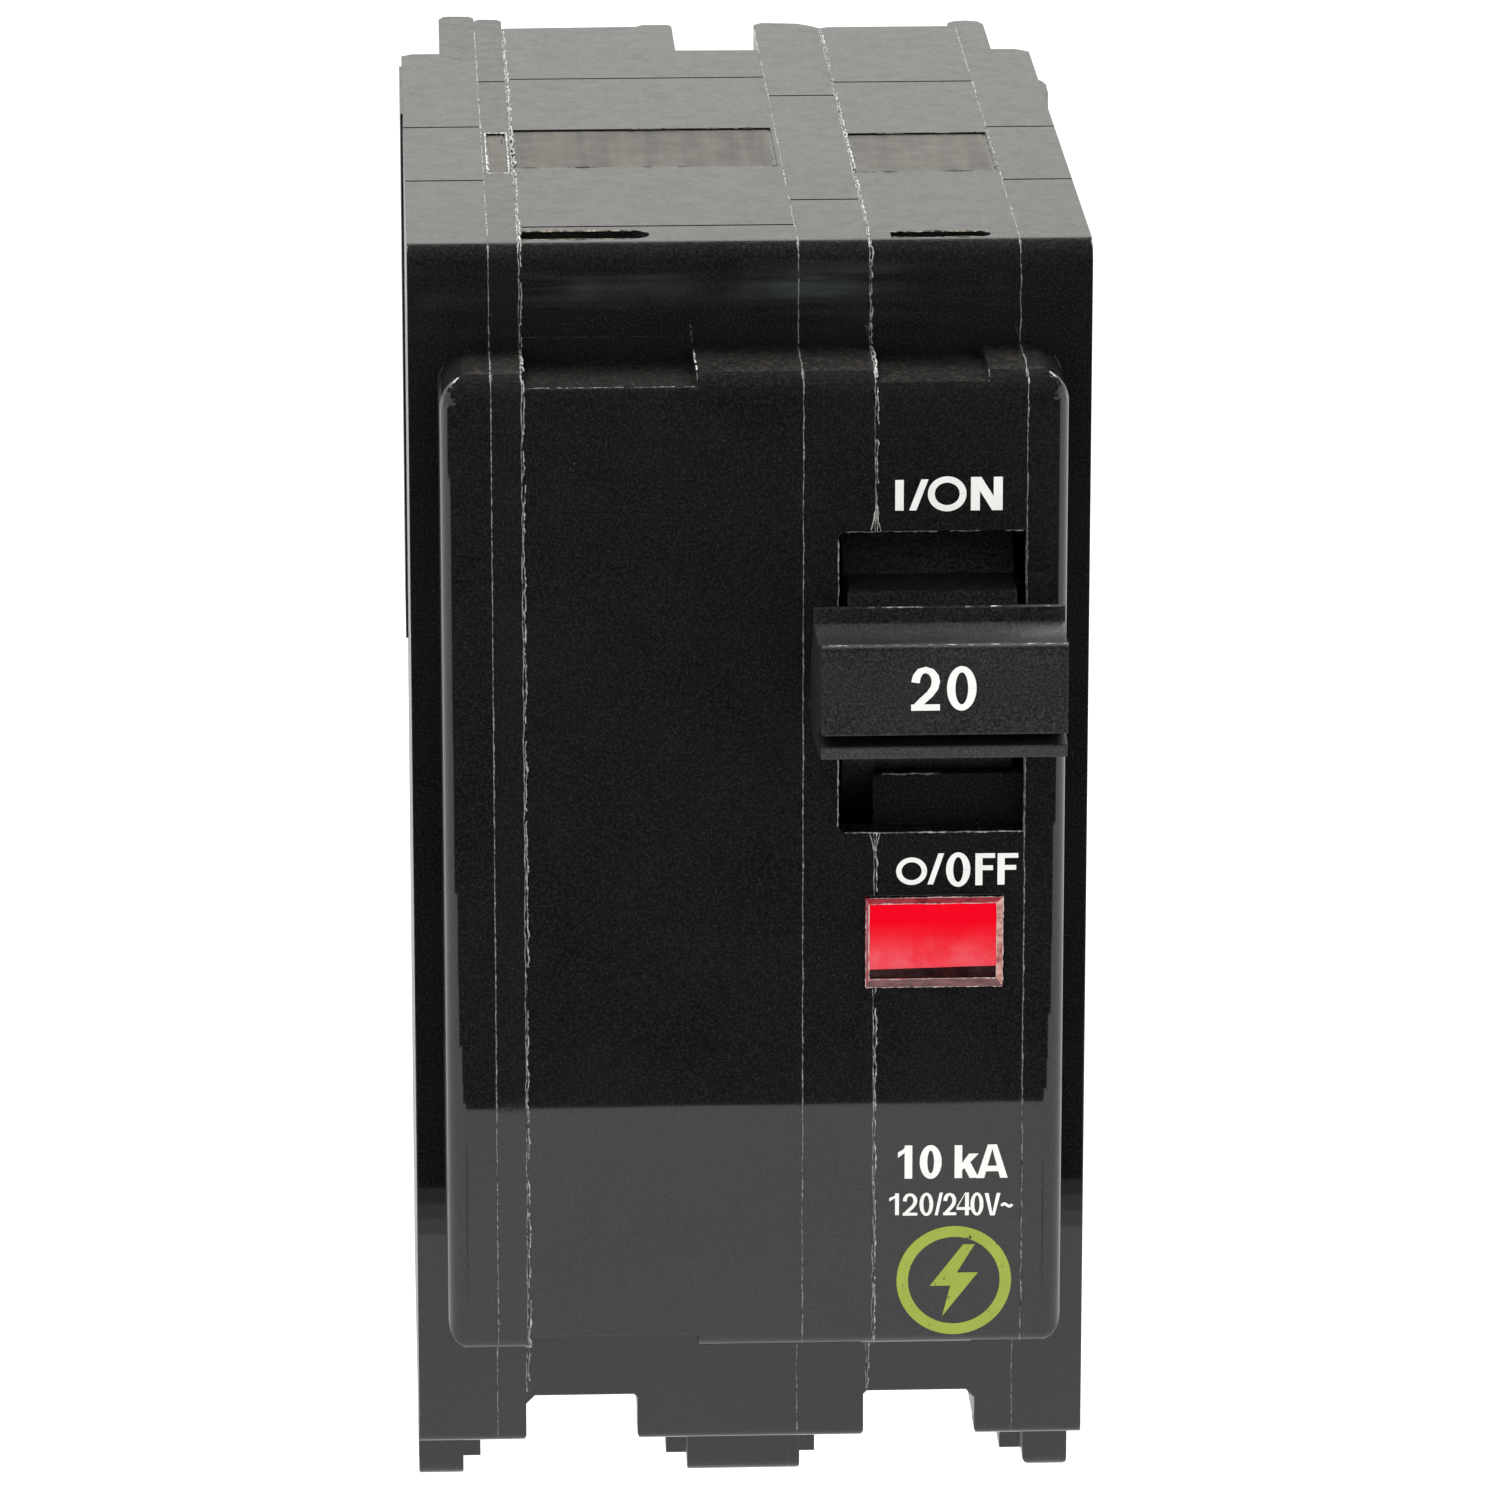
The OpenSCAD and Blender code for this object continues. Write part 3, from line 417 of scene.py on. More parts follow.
def smooth_group(limit):
    """Geometry nodes that shade smoothly over every edge flatter than limit degrees."""
    group = bpy.data.node_groups.new("smooth_shading", "GeometryNodeTree")
    group.interface.new_socket("Geometry", in_out="INPUT", socket_type="NodeSocketGeometry")
    group.interface.new_socket("Geometry", in_out="OUTPUT", socket_type="NodeSocketGeometry")
    new = group.nodes.new
    start, end = new("NodeGroupInput"), new("NodeGroupOutput")
    angle = new("GeometryNodeInputMeshEdgeAngle")
    compare = new("FunctionNodeCompare")
    compare.operation = "GREATER_THAN"
    compare.inputs[1].default_value = math.radians(limit)
    normal = new("GeometryNodeSetMeshNormal")
    normal.mode = "SHARPNESS"
    link = group.links.new
    link(angle.outputs["Unsigned Angle"], compare.inputs[0])
    link(start.outputs[0], normal.inputs["Mesh"])
    link(compare.outputs[0], normal.inputs["Edge Sharpness"])
    link(normal.outputs[0], end.inputs[0])
    return group


SMOOTH = smooth_group(50)


def smooth_roundings(obj):
    obj.modifiers.new("smooth", "NODES").node_group = SMOOTH
    obj.modifiers.new("weighted", "WEIGHTED_NORMAL").keep_sharp = True


def dress_cad():
    slot_of = {s["node"]: s["material_slot"] for s in frame["record"]["subparts"]}
    for name, obj in frame["nodes"].items():
        material = BY_SLOT[slot_of[name]]
        if name == "left_spacer_plate":
            material = PLATE_BLACK
        obj.data.materials.clear()
        obj.data.materials.append(material)
        if name in MOULDINGS or name == "handle":
            smooth_roundings(obj)


dress_cad()
# The flag's glow stays in the window: it lights nothing and no gloss shows it
flag_node = frame["nodes"]["trip_flag"]
flag_node.visible_diffuse = flag_node.visible_glossy = False


# ---- added pieces ----------------------------------------------------------------

def piece(name, points, faces, material, body, smooth=False):
    """A mesh in the frame that rides on a body and takes its finish from a material slot."""
    mesh = bpy.data.meshes.new(name)
    mesh.from_pydata(points, [], faces)
    mesh.validate()
    mesh.materials.append(material)
    if smooth:
        mesh.shade_smooth()
    obj = bpy.data.objects.new(name, mesh)
    bpy.context.scene.collection.objects.link(obj)
    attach(obj, body)
    return obj


def resample(path, step):
    """Points at even steps along a path of (point, normal), with the normals blended."""
    out = []
    for (p, n), (q, m) in zip(path, path[1:]):
        count = max(1, round((q - p).length / (step * MM)))
        out += [(p.lerp(q, i / count), n.lerp(m, i / count).normalized()) for i in range(count)]
    return out + [path[-1]]


FLASH_STEP = 0.14                # mm between the points of a line of flash
FLASH_FOOT = 0.02                # mm that its feet reach into the face
FINE, SLOW, BREAKS = 5200, 1300, 900     # scales of the noise behind its width, height and gaps


def flash(name, path, material, half=0.05, height=0.03, wander=0.0, gaps=0.0, seed=0, body="case"):
    """A ragged ridge of moulding flash along a path, half its width and its height in mm.
    Its width, height and place wander, and it breaks off in gaps."""
    spots = resample(path, FLASH_STEP)
    points, faces, last = [], [], None
    for i, (p, n) in enumerate(spots):
        before, after = spots[max(i - 1, 0)][0], spots[min(i + 1, len(spots) - 1)][0]
        side = (after - before).cross(n).normalized()
        fine = noise.noise(p * FINE + Vector((seed * 7.3, 0, 0)))
        slow = noise.noise(p * SLOW + Vector((0, seed * 5.1, 0)))
        if noise.noise(p * BREAKS + Vector((0, 0, seed * 3.7))) < gaps * 2 - 1:
            last = None
            continue
        width = half * MM * max(0.25, 1 + 1.3 * fine)
        lift = height * MM * max(0.3, 1 + 1.2 * slow)
        middle = p + side * wander * MM * (slow * 1.4 + fine * 0.8)
        foot = n * FLASH_FOOT * MM
        base = len(points)
        points += [middle - side * width - foot, middle + n * lift, middle + side * width - foot]
        if last is not None:
            faces += [(last, last + 1, base + 1, base), (last + 1, last + 2, base + 2, base + 1)]
        last = base
    piece(name, points, faces, material, body)


def arc_path(x, centre, radius, start, end, count=7):
    """Points and normals round an arc in the side plane, from the front (0) to the top (90)."""
    out = []
    for i in range(count):
        a = math.radians(start + (end - start) * i / (count - 1))
        n = Vector((0, -math.cos(a), math.sin(a)))
        out.append((at(x, centre[0] - radius * math.cos(a), centre[1] + radius * math.sin(a)), n))
    return out


def seam_paths(x, breaks, foot):
    """The seam's lines from its foot on the shoulder, over the nose and up to the line-end face.
    Each break is a (low, high) stretch of the nose's front that the seam leaves out."""
    low = [(at(x, 0, foot), FRONT), (at(x, 0, NOSE_Z[0]), FRONT)]
    start = arc_path(x, (NOSE_LOW_R - NOSE_RISE, NOSE_Z[0] + NOSE_LOW_R), NOSE_LOW_R, -90, 0)
    nose = arc_path(x, (NOSE_TOP_R - NOSE_RISE, NOSE_Z[1] - NOSE_TOP_R), NOSE_TOP_R, 0, 90)
    nose.append((at(x, -0.05, NOSE_Z[1]), UP))
    high = [(at(x, 0, NOSE_Z[1] + 0.1), FRONT)]
    high += arc_path(x, (SHOULDER_R, TOP - SHOULDER_R), SHOULDER_R, 0, 90)
    high.append((at(x, BACK_TOP, TOP), UP))
    paths, current = [low], start
    for a, b in breaks:
        current.append((at(x, -NOSE_RISE, a), FRONT))
        paths.append(current)
        current = [(at(x, -NOSE_RISE, b), FRONT)]
    return paths + [current + nose, high]


def straight(x, y, z, normal, count=2):
    """A straight path: each of x, y and z is a number or a (from, to) pair."""
    ends = [[v[i] if isinstance(v, tuple) else v for v in (x, y, z)] for i in (0, 1)]
    a, b = at(*ends[0]), at(*ends[1])
    return [(a.lerp(b, i / (count - 1)), Vector(normal).normalized()) for i in range(count)]


def seam(letter, x, breaks, material, seed, foot=0.5, **shape):
    """Flash along a moulding seam, one piece for each of its lines."""
    for i, path in enumerate(seam_paths(x, breaks, foot)):
        flash(f"seam_{letter}_{i}", path, material, seed=seed + i, **shape)


OPENINGS = [LENS_Z, SLOT_Z]      # seam D is cut by the lens and by the handle slot
FINE_SEAM = {"half": 0.045, "height": 0.03}
ROUGH_SEAM = {"half": 0.05, "height": 0.04, "wander": 0.06, "gaps": 0.15, "foot": NOTCH_TOP}
ROUGH_EDGE = {"half": 0.045, "height": 0.04, "wander": 0.08, "foot": NOTCH_TOP}
EDGE_SHIFT = 0.12                # the rough seams have a second, chipped line this far to the right
seam("a", SEAM_A, (), HAIRLINE, 1, wander=0.02, gaps=0.12, **FINE_SEAM)
seam("b", SEAM_B, (), HAIRLINE, 5, **ROUGH_SEAM)
seam("b_edge", SEAM_B + EDGE_SHIFT, (), CHIPPED, 9, gaps=0.33, **ROUGH_EDGE)
seam("c", SEAM_C, (), HAIRLINE, 13, wander=0.03, gaps=0.1, **FINE_SEAM)
seam("d", SEAM_D, OPENINGS, HAIRLINE, 17, **ROUGH_SEAM)
seam("d_edge", SEAM_D + EDGE_SHIFT, OPENINGS, CHIPPED, 23, gaps=0.36, **ROUGH_EDGE)
seam("e", SEAM_E, (), HAIRLINE, 29, wander=0.04, gaps=0.12, **FINE_SEAM)


LEDGE = (-4.7, 41.3)             # Y and Z of the ledge inside the handle slot


def slot_burrs():
    """Thin bright burrs round the handle slot and along the ledge in it."""
    y, (x0, x1), (z0, z1) = -NOSE_RISE, SLOT_X, SLOT_Z
    edges = [
        ("left", straight(x0, y, (z0 + 0.4, z1 - 0.4), FRONT), CHIPPED, 0.035, 0.15),
        ("top", straight((x0 + 0.4, x1 - 0.2), y, z1, FRONT), TANNED, 0.035, 0.3),
        ("low", straight((x0 + 0.4, x1), y, z0, FRONT), CHIPPED, 0.035, 0.25),
        ("right", straight(x1 - 0.02, y, SLOT_Z, FRONT), TANNED, 0.05, 0.1),
        ("ledge", straight((SEAM_D + 0.5, x1 - 4.6), *LEDGE, FRONT), HAIRLINE, 0.04, 0.2),
    ]
    for i, (name, path, material, half, gaps) in enumerate(edges):
        flash(f"slot_burr_{name}", path, material, half, 0.04, 0.03, gaps, 40 + i)


slot_burrs()


def nick(name, z, lean, seed):
    """Where the rough seam opens into a V at the handle slot's edge."""
    x = SEAM_D + 0.03
    for i, side in enumerate((-1, 1)):
        arm = ((0, 1.5), (0.1, 0.7), (0.28, 0.05))
        path = [(at(x + u * side, -NOSE_RISE, z + v * lean), FRONT) for u, v in arm]
        flash(f"{name}_{i}", path, CHIPPED, 0.04, 0.04, 0.02, 0.1, seed + i)


nick("slot_nick_top", SLOT_Z[1], 1, 90)
nick("slot_nick_low", SLOT_Z[0], -1, 93)


SIDE_EDGE_Z = (0.8, 69.6)
SHORT_SLOTS = (((SEAM_B + 0.2, -6.5), (1.8, 3.8)), ((7.9, 12.9), (1.5, 2.9)))


def rubbed_edges():
    """Chips and rubbed lines on the shoulder's edges, the nose's recess and the two short slots."""
    step, top = -3.2, NOSE_Z[1]
    line_end = straight((-18.9, 18.9), 0.93, 70.53, (0, -0.3, 0.95), 3)
    recess_step = straight(step, (-5.2, -0.6), top, (-0.7, 0, 0.7))
    recess_lip = straight((SEAM_B + 0.3, step - 0.1), -5.75, top - 0.8, (0, -0.7, 0.7))
    left = straight(-18.93, 0.08, SIDE_EDGE_Z, (-0.7, -0.7, 0))
    right = straight(18.98, 0.08, SIDE_EDGE_Z, (0.7, -0.7, 0))
    flash("edge_line_end", line_end, RUBBED, 0.04, 0.01, 0.03, 0.42, 100)
    flash("recess_step_left", recess_step, CHIPPED, 0.05, 0.04, 0.06, 0.36, 102)
    flash("recess_lip", recess_lip, HAIRLINE, 0.035, 0.02, 0.03, 0.4, 104)
    flash("edge_left", left, HAIRLINE, 0.05, 0.01, 0.02, 0.35, 106)
    flash("edge_right", right, RUBBED, 0.07, 0.03, 0.03, 0.62, 107)
    for i, (x, y) in enumerate(SHORT_SLOTS):
        front, rear = (straight(x, side, TOP, UP) for side in y)
        flash(f"slot_rim_front_{i}", front, RUBBED, 0.04, 0.03, 0.03, 0.3, 110 + i)
        flash(f"slot_rim_rear_{i}", rear, RUBBED, 0.06, 0.04, 0.04, 0.15, 114 + i)


rubbed_edges()


def window_frame():
    """The lens's bevelled rim painted with the light and shade seen through it, its pink highlight
    lines, and a dark sheet of painted shade in the gap under the flag.
    """
    base, ridge = -NOSE_RISE - 0.3, -NOSE_RISE - 0.42
    x0, x1 = LENS_X[0] + 0.04, LENS_X[1] - 0.04
    z0, z1 = LENS_Z[0] + 0.04, LENS_Z[1] - 0.04
    in_x0, in_x1, in_z0, in_z1 = x0 + 0.14, x1 - 0.34, z0 + 0.5, z1 - 0.3
    outer = [(x0, z0), (x1, z0), (x1, z1), (x0, z1)]
    inner = [(in_x0, in_z0), (in_x1, in_z0), (in_x1, in_z1), (in_x0, in_z1)]
    rims = (("low", RIM), ("right", RIM_LIT), ("high", RIM_RED), ("left", RIM_RED))
    for i, (name, material) in enumerate(rims):
        j = (i + 1) % 4
        points = [at(u, base - 0.01, v) for u, v in (outer[i], outer[j])]
        points += [at(u, ridge, v) for u, v in (inner[j], inner[i])]
        piece(f"window_rim_{name}", points, [(0, 1, 2, 3)], material, "case")
        for loop, y, seed in ((outer, base, 50), (inner, ridge, 54)):
            (a, c), (b, d) = loop[i], loop[j]
            x, z = (a, b) if a != b else a, (c, d) if c != d else c
            line = straight(x, y, z, FRONT)
            # lines along the lens's ridges, in pink painted highlight
            flash(f"window_highlight_line_{name}_{seed}", line, PINK_HIGHLIGHT, 0.03, 0.02, 0.02, 0.12, seed + i)
    # painted shade: a dark sheet over the lens where the cavity under the flag lies in shade
    gap = [(in_x0, in_z0), (in_x1, in_z0), (in_x1, in_z0 + 0.7), (in_x0, in_z0 + 0.55)]
    points = [at(u, base - 0.005, v) for u, v in gap]
    piece("window_painted_shade", points, [(0, 1, 2, 3)], RIM_PAINTED_SHADE, "case")


window_frame()


COIL_PLACE = (9.7, 43.9, 22)     # middle of the armature spring's front end in the right pole


def armature_spring(side, sign):
    """Round-wire coil between armature and bimetal. It rides on the armature as one rigid piece."""
    x, y, z = COIL_PLACE[0] * sign, COIL_PLACE[1], COIL_PLACE[2]
    length, radius, wire = 4.5, 1.3, 0.25
    turns, steps, sides = 4, 24, 8
    points, faces = [], []
    for i in range(turns * steps + 1):
        a = 2 * math.pi * i / steps
        for k in range(sides):
            b = 2 * math.pi * k / sides
            r = radius + wire * math.cos(b)
            along = y + length * i / (turns * steps) + wire * math.sin(b)
            points.append(at(x + r * math.cos(a), along, z + r * math.sin(a)))
    for i in range(turns * steps):
        for k in range(sides):
            n = (k + 1) % sides
            faces.append((sides * i + k, sides * i + n, sides * (i + 1) + n, sides * (i + 1) + k))
    faces += [tuple(range(sides)), tuple(sides * turns * steps + k for k in range(sides))]
    body = f"armature_{side}_body"
    spring = piece(f"armature_coil_{side}", points, faces, SPRING, body, smooth=True)
    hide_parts(f"armature_spring_{side}")
    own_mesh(spring)


armature_spring("left", -1)
armature_spring("right", 1)


GRIP_FRONT_EDGE = (-13.7, 51.33)
GRIP_TOP_EDGE = (-9.72, 52.39)


def handle_wear():
    """Rubbed edges of the finger piece: its front upper edge and its top edge."""
    x = (GRIP_X[0] + 0.5, GRIP_X[1] - 0.1)
    front = straight(x, *GRIP_FRONT_EDGE, (0, -0.7, 0.7))
    top = straight(x, *GRIP_TOP_EDGE, (0, -0.7, 0.7))
    flash("grip_wear_front", front, CHIPPED, 0.045, 0.012, 0.04, 0.3, 60, "toggle")
    flash("grip_wear_top", top, CHIPPED, 0.03, 0.015, 0.03, 0.5, 61, "toggle")


handle_wear()


class Glyphs:
    """Plain signage letters drawn as flat shapes in a box of width w and height h, in mm, with
    upright strokes s wide and level strokes t thick."""

    def __init__(self, w, h, s, t):
        self.w, self.h, self.s, self.t = w, h, s, t

    def bar(self, x0, z0, x1, z1):
        return [[(x0, z0), (x1, z0), (x1, z1), (x0, z1)]]

    def ring(self, count=40):
        """An oval that fills the box, in short quads."""
        def spot(k, inset):
            turn, x, z = 2 * math.pi * k / count, self.w / 2, self.h / 2
            return (x + (x - inset[0]) * math.cos(turn), z + (z - inset[1]) * math.sin(turn))

        rim, stroke = (0, 0), (self.s, self.t)
        return [[spot(i, rim), spot(i + 1, rim), spot(i + 1, stroke), spot(i, stroke)]
                for i in range(count)]

    def ribbon(self, points):
        """A stroke along points given as shares of the box, kept inside it."""
        room = (self.w - self.s, self.h - self.t)
        line = [Vector((self.s / 2 + u * room[0], self.t / 2 + v * room[1])) for u, v in points]
        sides = []
        for i, p in enumerate(line):
            run = (line[min(i + 1, len(line) - 1)] - line[max(i - 1, 0)]).normalized()
            across = Vector((-run.y * self.s, run.x * self.t)) / 2
            sides.append((p + across, p - across))
        return [[tuple(corner) for corner in (a[0], b[0], b[1], a[1])]
                for a, b in zip(sides, sides[1:])]

    def draw(self, letter):
        w, h, s, t = self.w, self.h, self.s, self.t
        if letter == "I":
            return self.bar(0, 0, w, h)
        if letter == "/":
            return [[(0, 0), (s, 0), (w, h), (w - s, h)]]
        if letter in "O0":
            return self.ring()
        if letter == "N":
            slope = [(w - 1.15 * s, 0), (w, 0), (1.15 * s, h), (0, h)]
            return self.bar(0, 0, s, h) + self.bar(w - s, 0, w, h) + [slope]
        if letter == "F":
            arms = self.bar(0, h - t, w, h) + self.bar(0, h * 0.47, w * 0.9, h * 0.47 + t)
            return self.bar(0, 0, s, h) + arms
        if letter == "1":
            left, right = w - s, w - 0.8 * s
            flag = [(0, 0.63 * h), (left, 0.78 * h), (w, h), (right, h),
                    (w - 1.2 * s, 0.88 * h), (0, 0.79 * h)]
            return self.bar(left, 0, w, h) + [flag]
        if letter == "2":
            bow = [(0, 0.66), (0.07, 0.83), (0.24, 0.96), (0.5, 1), (0.77, 0.95), (0.95, 0.82),
                   (1, 0.68), (0.93, 0.52), (0.72, 0.36), (0.35, 0.18), (0.08, 0.03)]
            return self.ribbon(bow) + self.bar(0, 0, w, t)
        if letter == "4":
            post, low = 0.58 * w, 0.24 * h
            slope = [(0, low), (0.3 * s, low + t), (post + 0.2 * s, h), (post, h), (0, 0.38 * h)]
            return self.bar(post, 0, post + s, h) + self.bar(0, low, w, low + t) + [slope]
        if letter == "k":
            arm = [(s, 0.24 * h), (w, 0.74 * h), (w - 1.3 * s, 0.74 * h), (s, 0.46 * h)]
            leg = [(w - 1.2 * s, 0), (w, 0), (0.62 * w, 0.52 * h), (0.34 * w, 0.4 * h)]
            return self.bar(0, 0, s, h) + [arm, leg]
        if letter in "AV":
            half = w / 2
            legs = [[(0, 0), (s, 0), (half + 0.15 * s, h), (half - 0.6 * s, h)],
                    [(w - s, 0), (w, 0), (half + 0.6 * s, h), (half - 0.15 * s, h)]]
            if letter == "V":
                return [[(x, h - z) for x, z in leg] for leg in legs]
            return legs + self.bar(0.2 * w, 0.2 * h, 0.8 * w, 0.2 * h + t)
        if letter == "~":
            wave = [(0, 0.2), (0.1, 0.8), (0.28, 1), (0.5, 0.5), (0.72, 0), (0.9, 0.2), (1, 0.8)]
            return self.ribbon(wave)
        raise ValueError(letter)


THINNER = {"O": 0.76, "/": 0.8, "~": 0.8}     # letters with a thinner stroke than the others
INK_LIFT, INK_STEP = 0.012, 0.0004            # mm of the first stroke, and more for each after it


def label(name, letters, y, stroke, material, body="case"):
    """Printed letters, each (letter, x from, x to, z from, z to), a hair proud of a front face."""
    points, faces = [], []
    for letter, x0, x1, z0, z1 in letters:
        upright = x1 - x0 if letter == "I" else stroke[0] * THINNER.get(letter, 1)
        for shape in Glyphs(x1 - x0, z1 - z0, upright, stroke[1]).draw(letter):
            start = len(points)
            lift = INK_LIFT + INK_STEP * len(faces)
            points += [at(x0 + u, y - lift, z0 + v) for u, v in shape]
            faces.append(tuple(range(start, len(points))))
    piece(name, points, faces, material, body)


label("mark_on", [
    ("I", 7.72, 8.19, 57.0, 58.75), ("/", 8.49, 9.56, 57.0, 58.77),
    ("O", 9.52, 11.66, 56.93, 58.93), ("N", 11.9, 13.66, 56.97, 58.88),
], -NOSE_RISE, (0.5, 0.36), WHITE_INK)
label("mark_off", [
    ("O", 7.87, 9.6, 35.34, 36.95), ("/", 9.62, 10.55, 35.36, 37.17),
    ("0", 10.66, 12.02, 35.2, 37.22), ("F", 12.3, 13.4, 35.28, 37.15),
    ("F", 13.54, 14.7, 35.3, 37.14),
], -NOSE_RISE, (0.4, 0.28), WHITE_INK)
label("mark_interrupting", [
    ("1", 8.05, 8.86, 17.97, 19.95), ("0", 9.28, 10.52, 17.94, 19.96),
    ("k", 11.25, 12.62, 17.97, 19.93), ("A", 12.5, 14.26, 17.95, 19.95),
], -NOSE_RISE, (0.43, 0.33), WHITE_INK)
label("mark_voltage", [
    ("1", 7.57, 8.12, 15.8, 17.1), ("2", 8.33, 9.16, 15.76, 17.1),
    ("0", 9.28, 10.06, 15.73, 17.12), ("/", 10.14, 10.6, 15.76, 17.12),
    ("2", 10.62, 11.36, 15.76, 17.1), ("4", 11.38, 12.2, 15.74, 17.1),
    ("0", 12.16, 12.9, 15.72, 17.1), ("V", 12.96, 13.86, 15.72, 17.06),
    ("~", 13.84, 14.6, 16.16, 16.5),
], -NOSE_RISE, (0.22, 0.17), WHITE_INK)
label("mark_amps", [
    ("2", 8.2, 9.78, 47.68, 50.18), ("0", 10.16, 11.78, 47.66, 50.2),
], GRIP_FACE, (0.46, 0.36), WHITE_INK, "toggle")


BOLT = [(0.16, 0.66), (-0.42, -0.1), (-0.06, -0.1), (-0.2, -0.66),
        (0.42, 0.14), (0.05, 0.14), (0.36, 0.66)]      # shares of the badge's radius


def badge(centre, radius):
    """Generic round badge: a ring with a lightning bolt."""
    y, thick, count = -NOSE_RISE, 0.02, 72
    inner = radius * 0.8
    points, faces = [], []
    for i in range(count):
        a = 2 * math.pi * i / count
        for r, lift in ((radius, 0), (radius, thick), (inner, thick), (inner, 0)):
            points.append(at(centre[0] + r * math.cos(a), y - lift, centre[1] + r * math.sin(a)))
        b, c = 4 * i, 4 * ((i + 1) % count)
        faces += [(b + k, c + k, c + k + 1, b + k + 1) for k in range(3)]
    piece("badge_ring", points, faces, GREEN_INK, "case")
    corners = [(centre[0] + u * radius, centre[1] + v * radius) for u, v in BOLT]
    points = [at(x, y - lift, z) for lift in (thick, 0) for x, z in corners]
    n = len(BOLT)
    faces = [tuple(range(n))] + [(i, (i + 1) % n, (i + 1) % n + n, i + n) for i in range(n)]
    piece("badge_bolt", points, faces, GREEN_INK, "case")


badge((11.25, 11.85), 3.25)


RECESS, FILM = 0.1, 0.02         # mm that the patches' floor lies low, and their thickness
RAGGED = 0.12                    # mm that their outline wanders


def patch(name, x, y, seed, material=PATCH):
    """A thin matt film on the floor of a shallow recess in the line-end face."""
    nx, ny = 24, 12
    points, faces = [], []
    for j in range(ny + 1):
        for i in range(nx + 1):
            u, v = i / nx, j / ny
            p = Vector((x[0] + (x[1] - x[0]) * u, y[0] + (y[1] - y[0]) * v, TOP - RECESS + FILM))
            if i in (0, nx):
                p.x += RAGGED * noise.noise(Vector((seed, v * 9, 0)))
            if j in (0, ny):
                p.y += RAGGED * noise.noise(Vector((seed, 0, u * 14)))
            points.append(at(*p))
    for j in range(ny):
        for i in range(nx):
            a = j * (nx + 1) + i
            faces.append((a, a + 1, a + nx + 2, a + nx + 1))
    piece(name, points, faces, material, "case")


patch("patch_left", (SEAM_B + 0.3, 2.2), (19.8, 29.3), 1.5, PATCH_DARK)
patch("patch_right", (SEAM_D + 0.3, 14.7), (18.0, 27.6), 4.5)
patch("patch_plate", (SEAM_A + 0.45, SEAM_B - 0.45), (18.6, 28.4), 7.5)


def outline(name, x, y, material, half, gaps, seed):
    """Flash round a rectangle on the line-end face."""
    for i, path in enumerate((
        straight(x, y[0], TOP, UP), straight(x, y[1], TOP, UP),
        straight(x[0], y, TOP, UP), straight(x[1], y, TOP, UP),
    )):
        flash(f"{name}_{i}", path, material, half, 0.03, 0.03, gaps, seed + i)


outline("plate_mark", (SEAM_A + 0.24, SEAM_B - 0.2), (18.3, 28.7), CHIPPED, 0.06, 0.1, 70)
outline("patch_mark_left", (SEAM_B + 0.1, 2.4), (19.6, 29.5), TANNED, 0.03, 0.55, 75)
outline("patch_mark_right", (SEAM_D + 0.1, 14.9), (17.8, 27.8), TANNED, 0.03, 0.5, 80)


# ---- stage ---------------------------------------------------------------------

def glowing(name, strength):
    """An even glow, so that the stage looks the same from every side."""
    material = bpy.data.materials.new(name)
    material.use_nodes = True
    tree = material.node_tree
    tree.nodes.remove(tree.nodes["Principled BSDF"])
    glow = tree.nodes.new("ShaderNodeEmission")
    glow.inputs["Color"].default_value = (1.0, 0.995, 0.985, 1)
    glow.inputs["Strength"].default_value = strength
    tree.links.new(glow.outputs[0], tree.nodes["Material Output"].inputs["Surface"])
    return material


def panel(name, corners, material, seen=False):
    """A flat four-cornered stage panel. One that isn't seen shows in reflections only."""
    mesh = bpy.data.meshes.new(name)
    mesh.from_pydata(corners, [], [(0, 1, 2, 3)])
    mesh.materials.append(material)
    obj = bpy.data.objects.new(name, mesh)
    bpy.context.scene.collection.objects.link(obj)
    if not seen:
        obj.visible_camera = obj.visible_diffuse = obj.visible_shadow = False


def level_panel(name, x, y, z, material, seen=False):
    """A level panel. The left and the right side in x, and y, are each a (far, near) pair."""
    (a, b), (c, d) = x
    panel(name, [(a, y[0], z), (c, y[0], z), (d, y[1], z), (b, y[1], z)], material, seen)


def across(half):
    """Straight left and right sides, half a width from the middle."""
    return (-half, -half), (half, half)


FLOOR_Z, CEILING = LOW[2], LOW[2] + 1.0
CARD_FAR, CARD_NEAR = NOSE_Y - 1.7, NOSE_Y - 0.0875
CARD_Z = FLOOR_Z + 0.001
dark = glowing("card_dark", 0.0)
level_panel("floor", across(4), (-4, 4), FLOOR_Z, glowing("floor_white", 1.27), seen=True)
level_panel("card_ceiling", across(2.2), (CARD_FAR, 1.2), CEILING, dark)
panel("card_wall", [(-1.5, CARD_FAR, FLOOR_Z), (1.5, CARD_FAR, FLOOR_Z),
                    (1.5, CARD_FAR, CEILING), (-1.5, CARD_FAR, CEILING)], dark)
level_panel("card_floor", across(1.5), (CARD_FAR, CARD_NEAR), CARD_Z, dark)

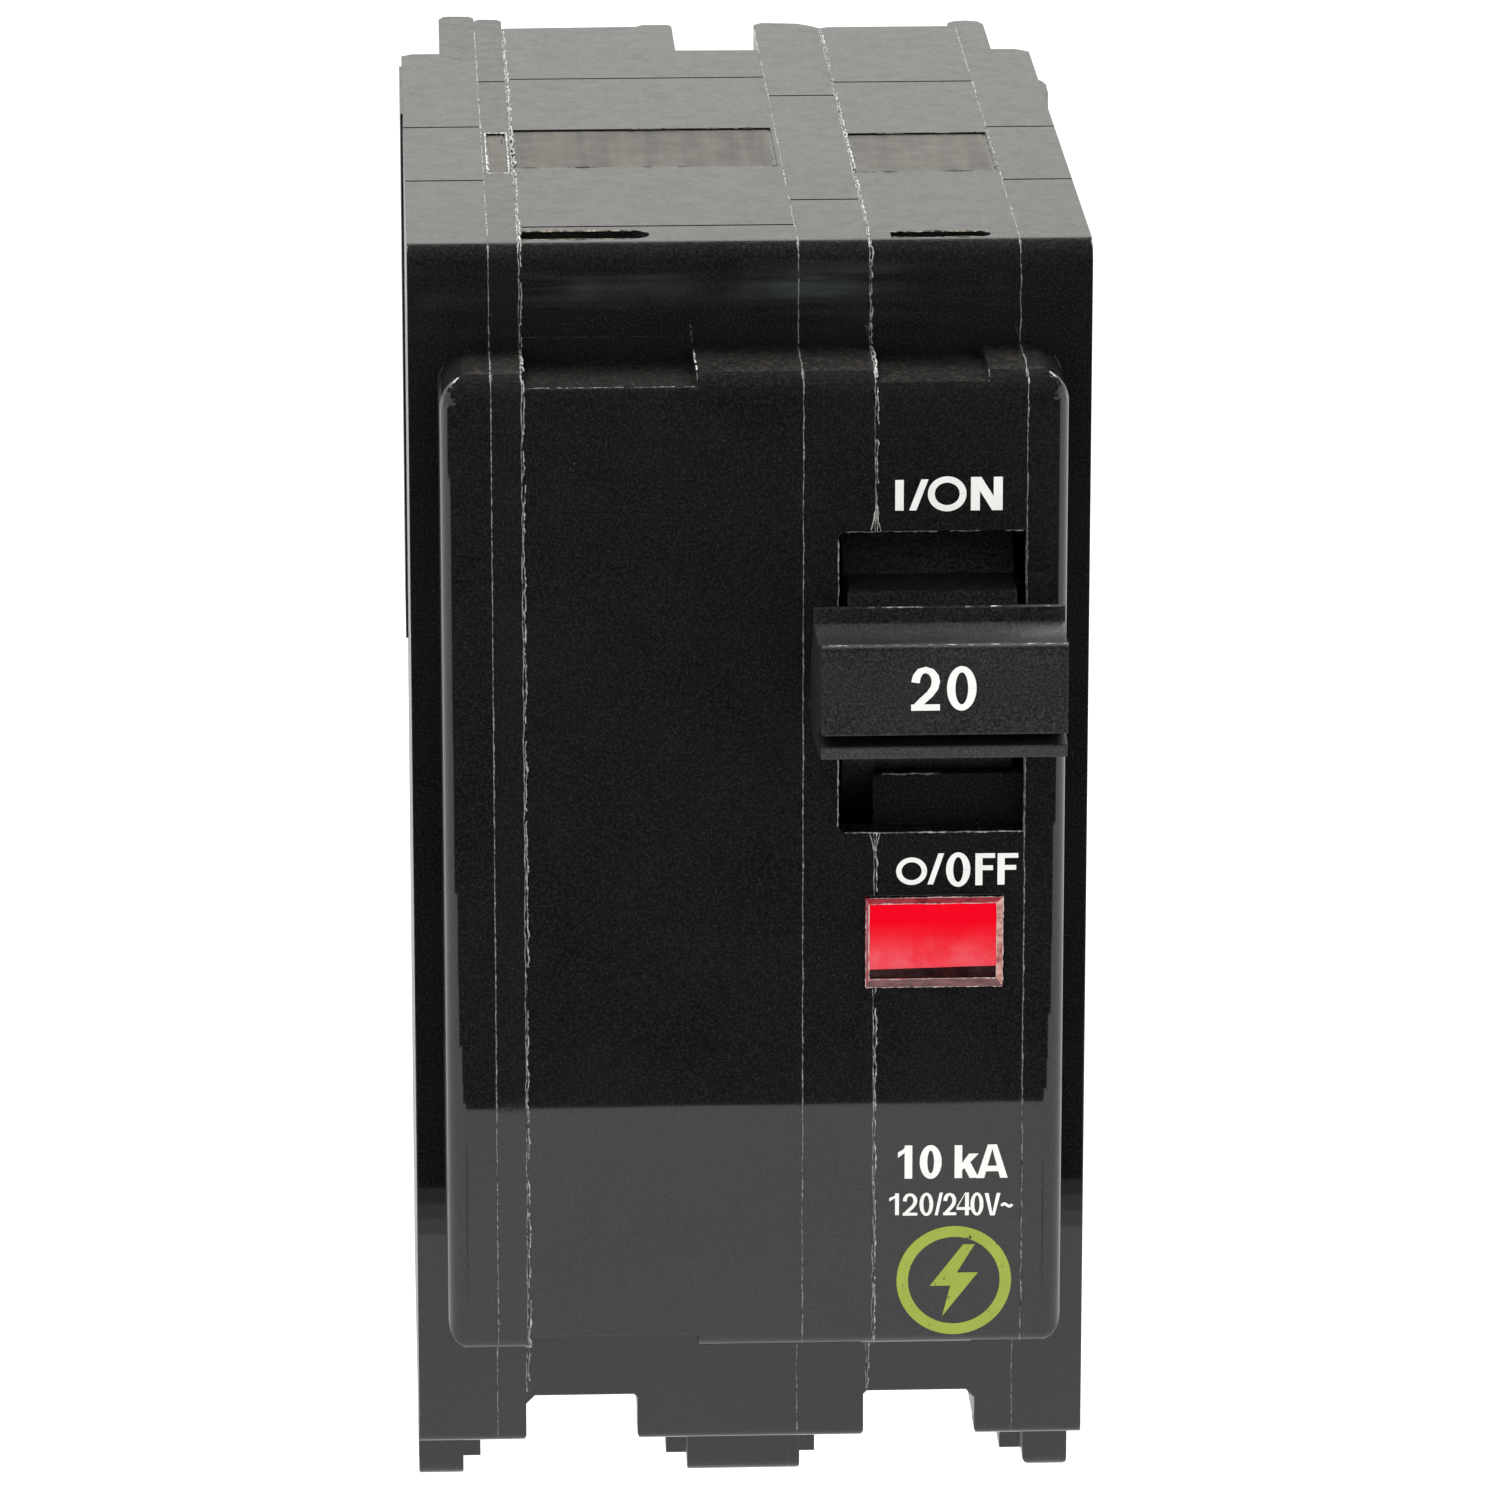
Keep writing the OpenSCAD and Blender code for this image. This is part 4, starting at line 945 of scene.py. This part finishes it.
# The shoulder's side strips look past the nose at two dark tabs, whose near edges fade out
TABS = tuple(NOSE_Y - ahead for ahead in (0.0875, 0.059, 0.056, 0.053, 0.050))
TAB_FADE = 0.28                  # each stretch of a tab glows this much more than the one before
TAB_SIDES = (("left", -0.0225, -0.0161, -0.011), ("right", 0.0285, 0.0239, -0.077))
for i, stretch in enumerate(zip(TABS, TABS[1:])):
    shade = glowing(f"card_tab_{i}", TAB_FADE * i)
    for side, outer, inner, slope in TAB_SIDES:
        edge = tuple(inner + slope * (y - TABS[0]) for y in stretch)
        level_panel(f"card_tab_{side}_{i}", sorted([(outer, outer), edge]), stretch, CARD_Z, shade)


def softbox(name, place, size, power):
    """A square area light that looks at the breaker's middle."""
    data = bpy.data.lights.new(name, "AREA")
    data.shape = "RECTANGLE"
    data.size = data.size_y = size
    data.energy = power
    obj = bpy.data.objects.new(name, data)
    obj.location = place
    aim = (LOW + HIGH) / 2 - Vector(place)
    obj.rotation_euler = aim.to_track_quat("-Z", "Y").to_euler()
    bpy.context.scene.collection.objects.link(obj)


softbox("softbox_left", (-0.42, 0.3, 0.78), 0.5, 12.0)
softbox("softbox_right", (0.42, 0.3, 0.78), 0.5, 12.0)

world = bpy.data.worlds.new("studio")
world.use_nodes = True
background = world.node_tree.nodes["Background"].inputs
background["Color"].default_value = (1.0, 0.998, 0.96, 1.0)
background["Strength"].default_value = 1.0
bpy.context.scene.world = world
bpy.context.scene.view_settings.view_transform = "Standard"


CAMERA_PLACE = (-0.0208, -0.5485, 0.1281)
FOCAL_LENGTH = 217.4             # mm, on a sensor 36 mm wide
PITCH, TURN = 0.2896, 0.0425     # radians down and to the right


def camera():
    """Long lens above and a little left of the breaker, looking down at it."""
    data = bpy.data.cameras.new("camera")
    data.sensor_width = 36
    data.lens = FOCAL_LENGTH
    data.clip_start = 0.01
    obj = bpy.data.objects.new("camera", data)
    obj.location = CAMERA_PLACE
    level = math.cos(PITCH)
    aim = Vector((math.sin(TURN) * level, math.cos(TURN) * level, -math.sin(PITCH)))
    obj.rotation_euler = aim.to_track_quat("-Z", "Y").to_euler()
    bpy.context.scene.collection.objects.link(obj)
    bpy.context.scene.camera = obj


camera()
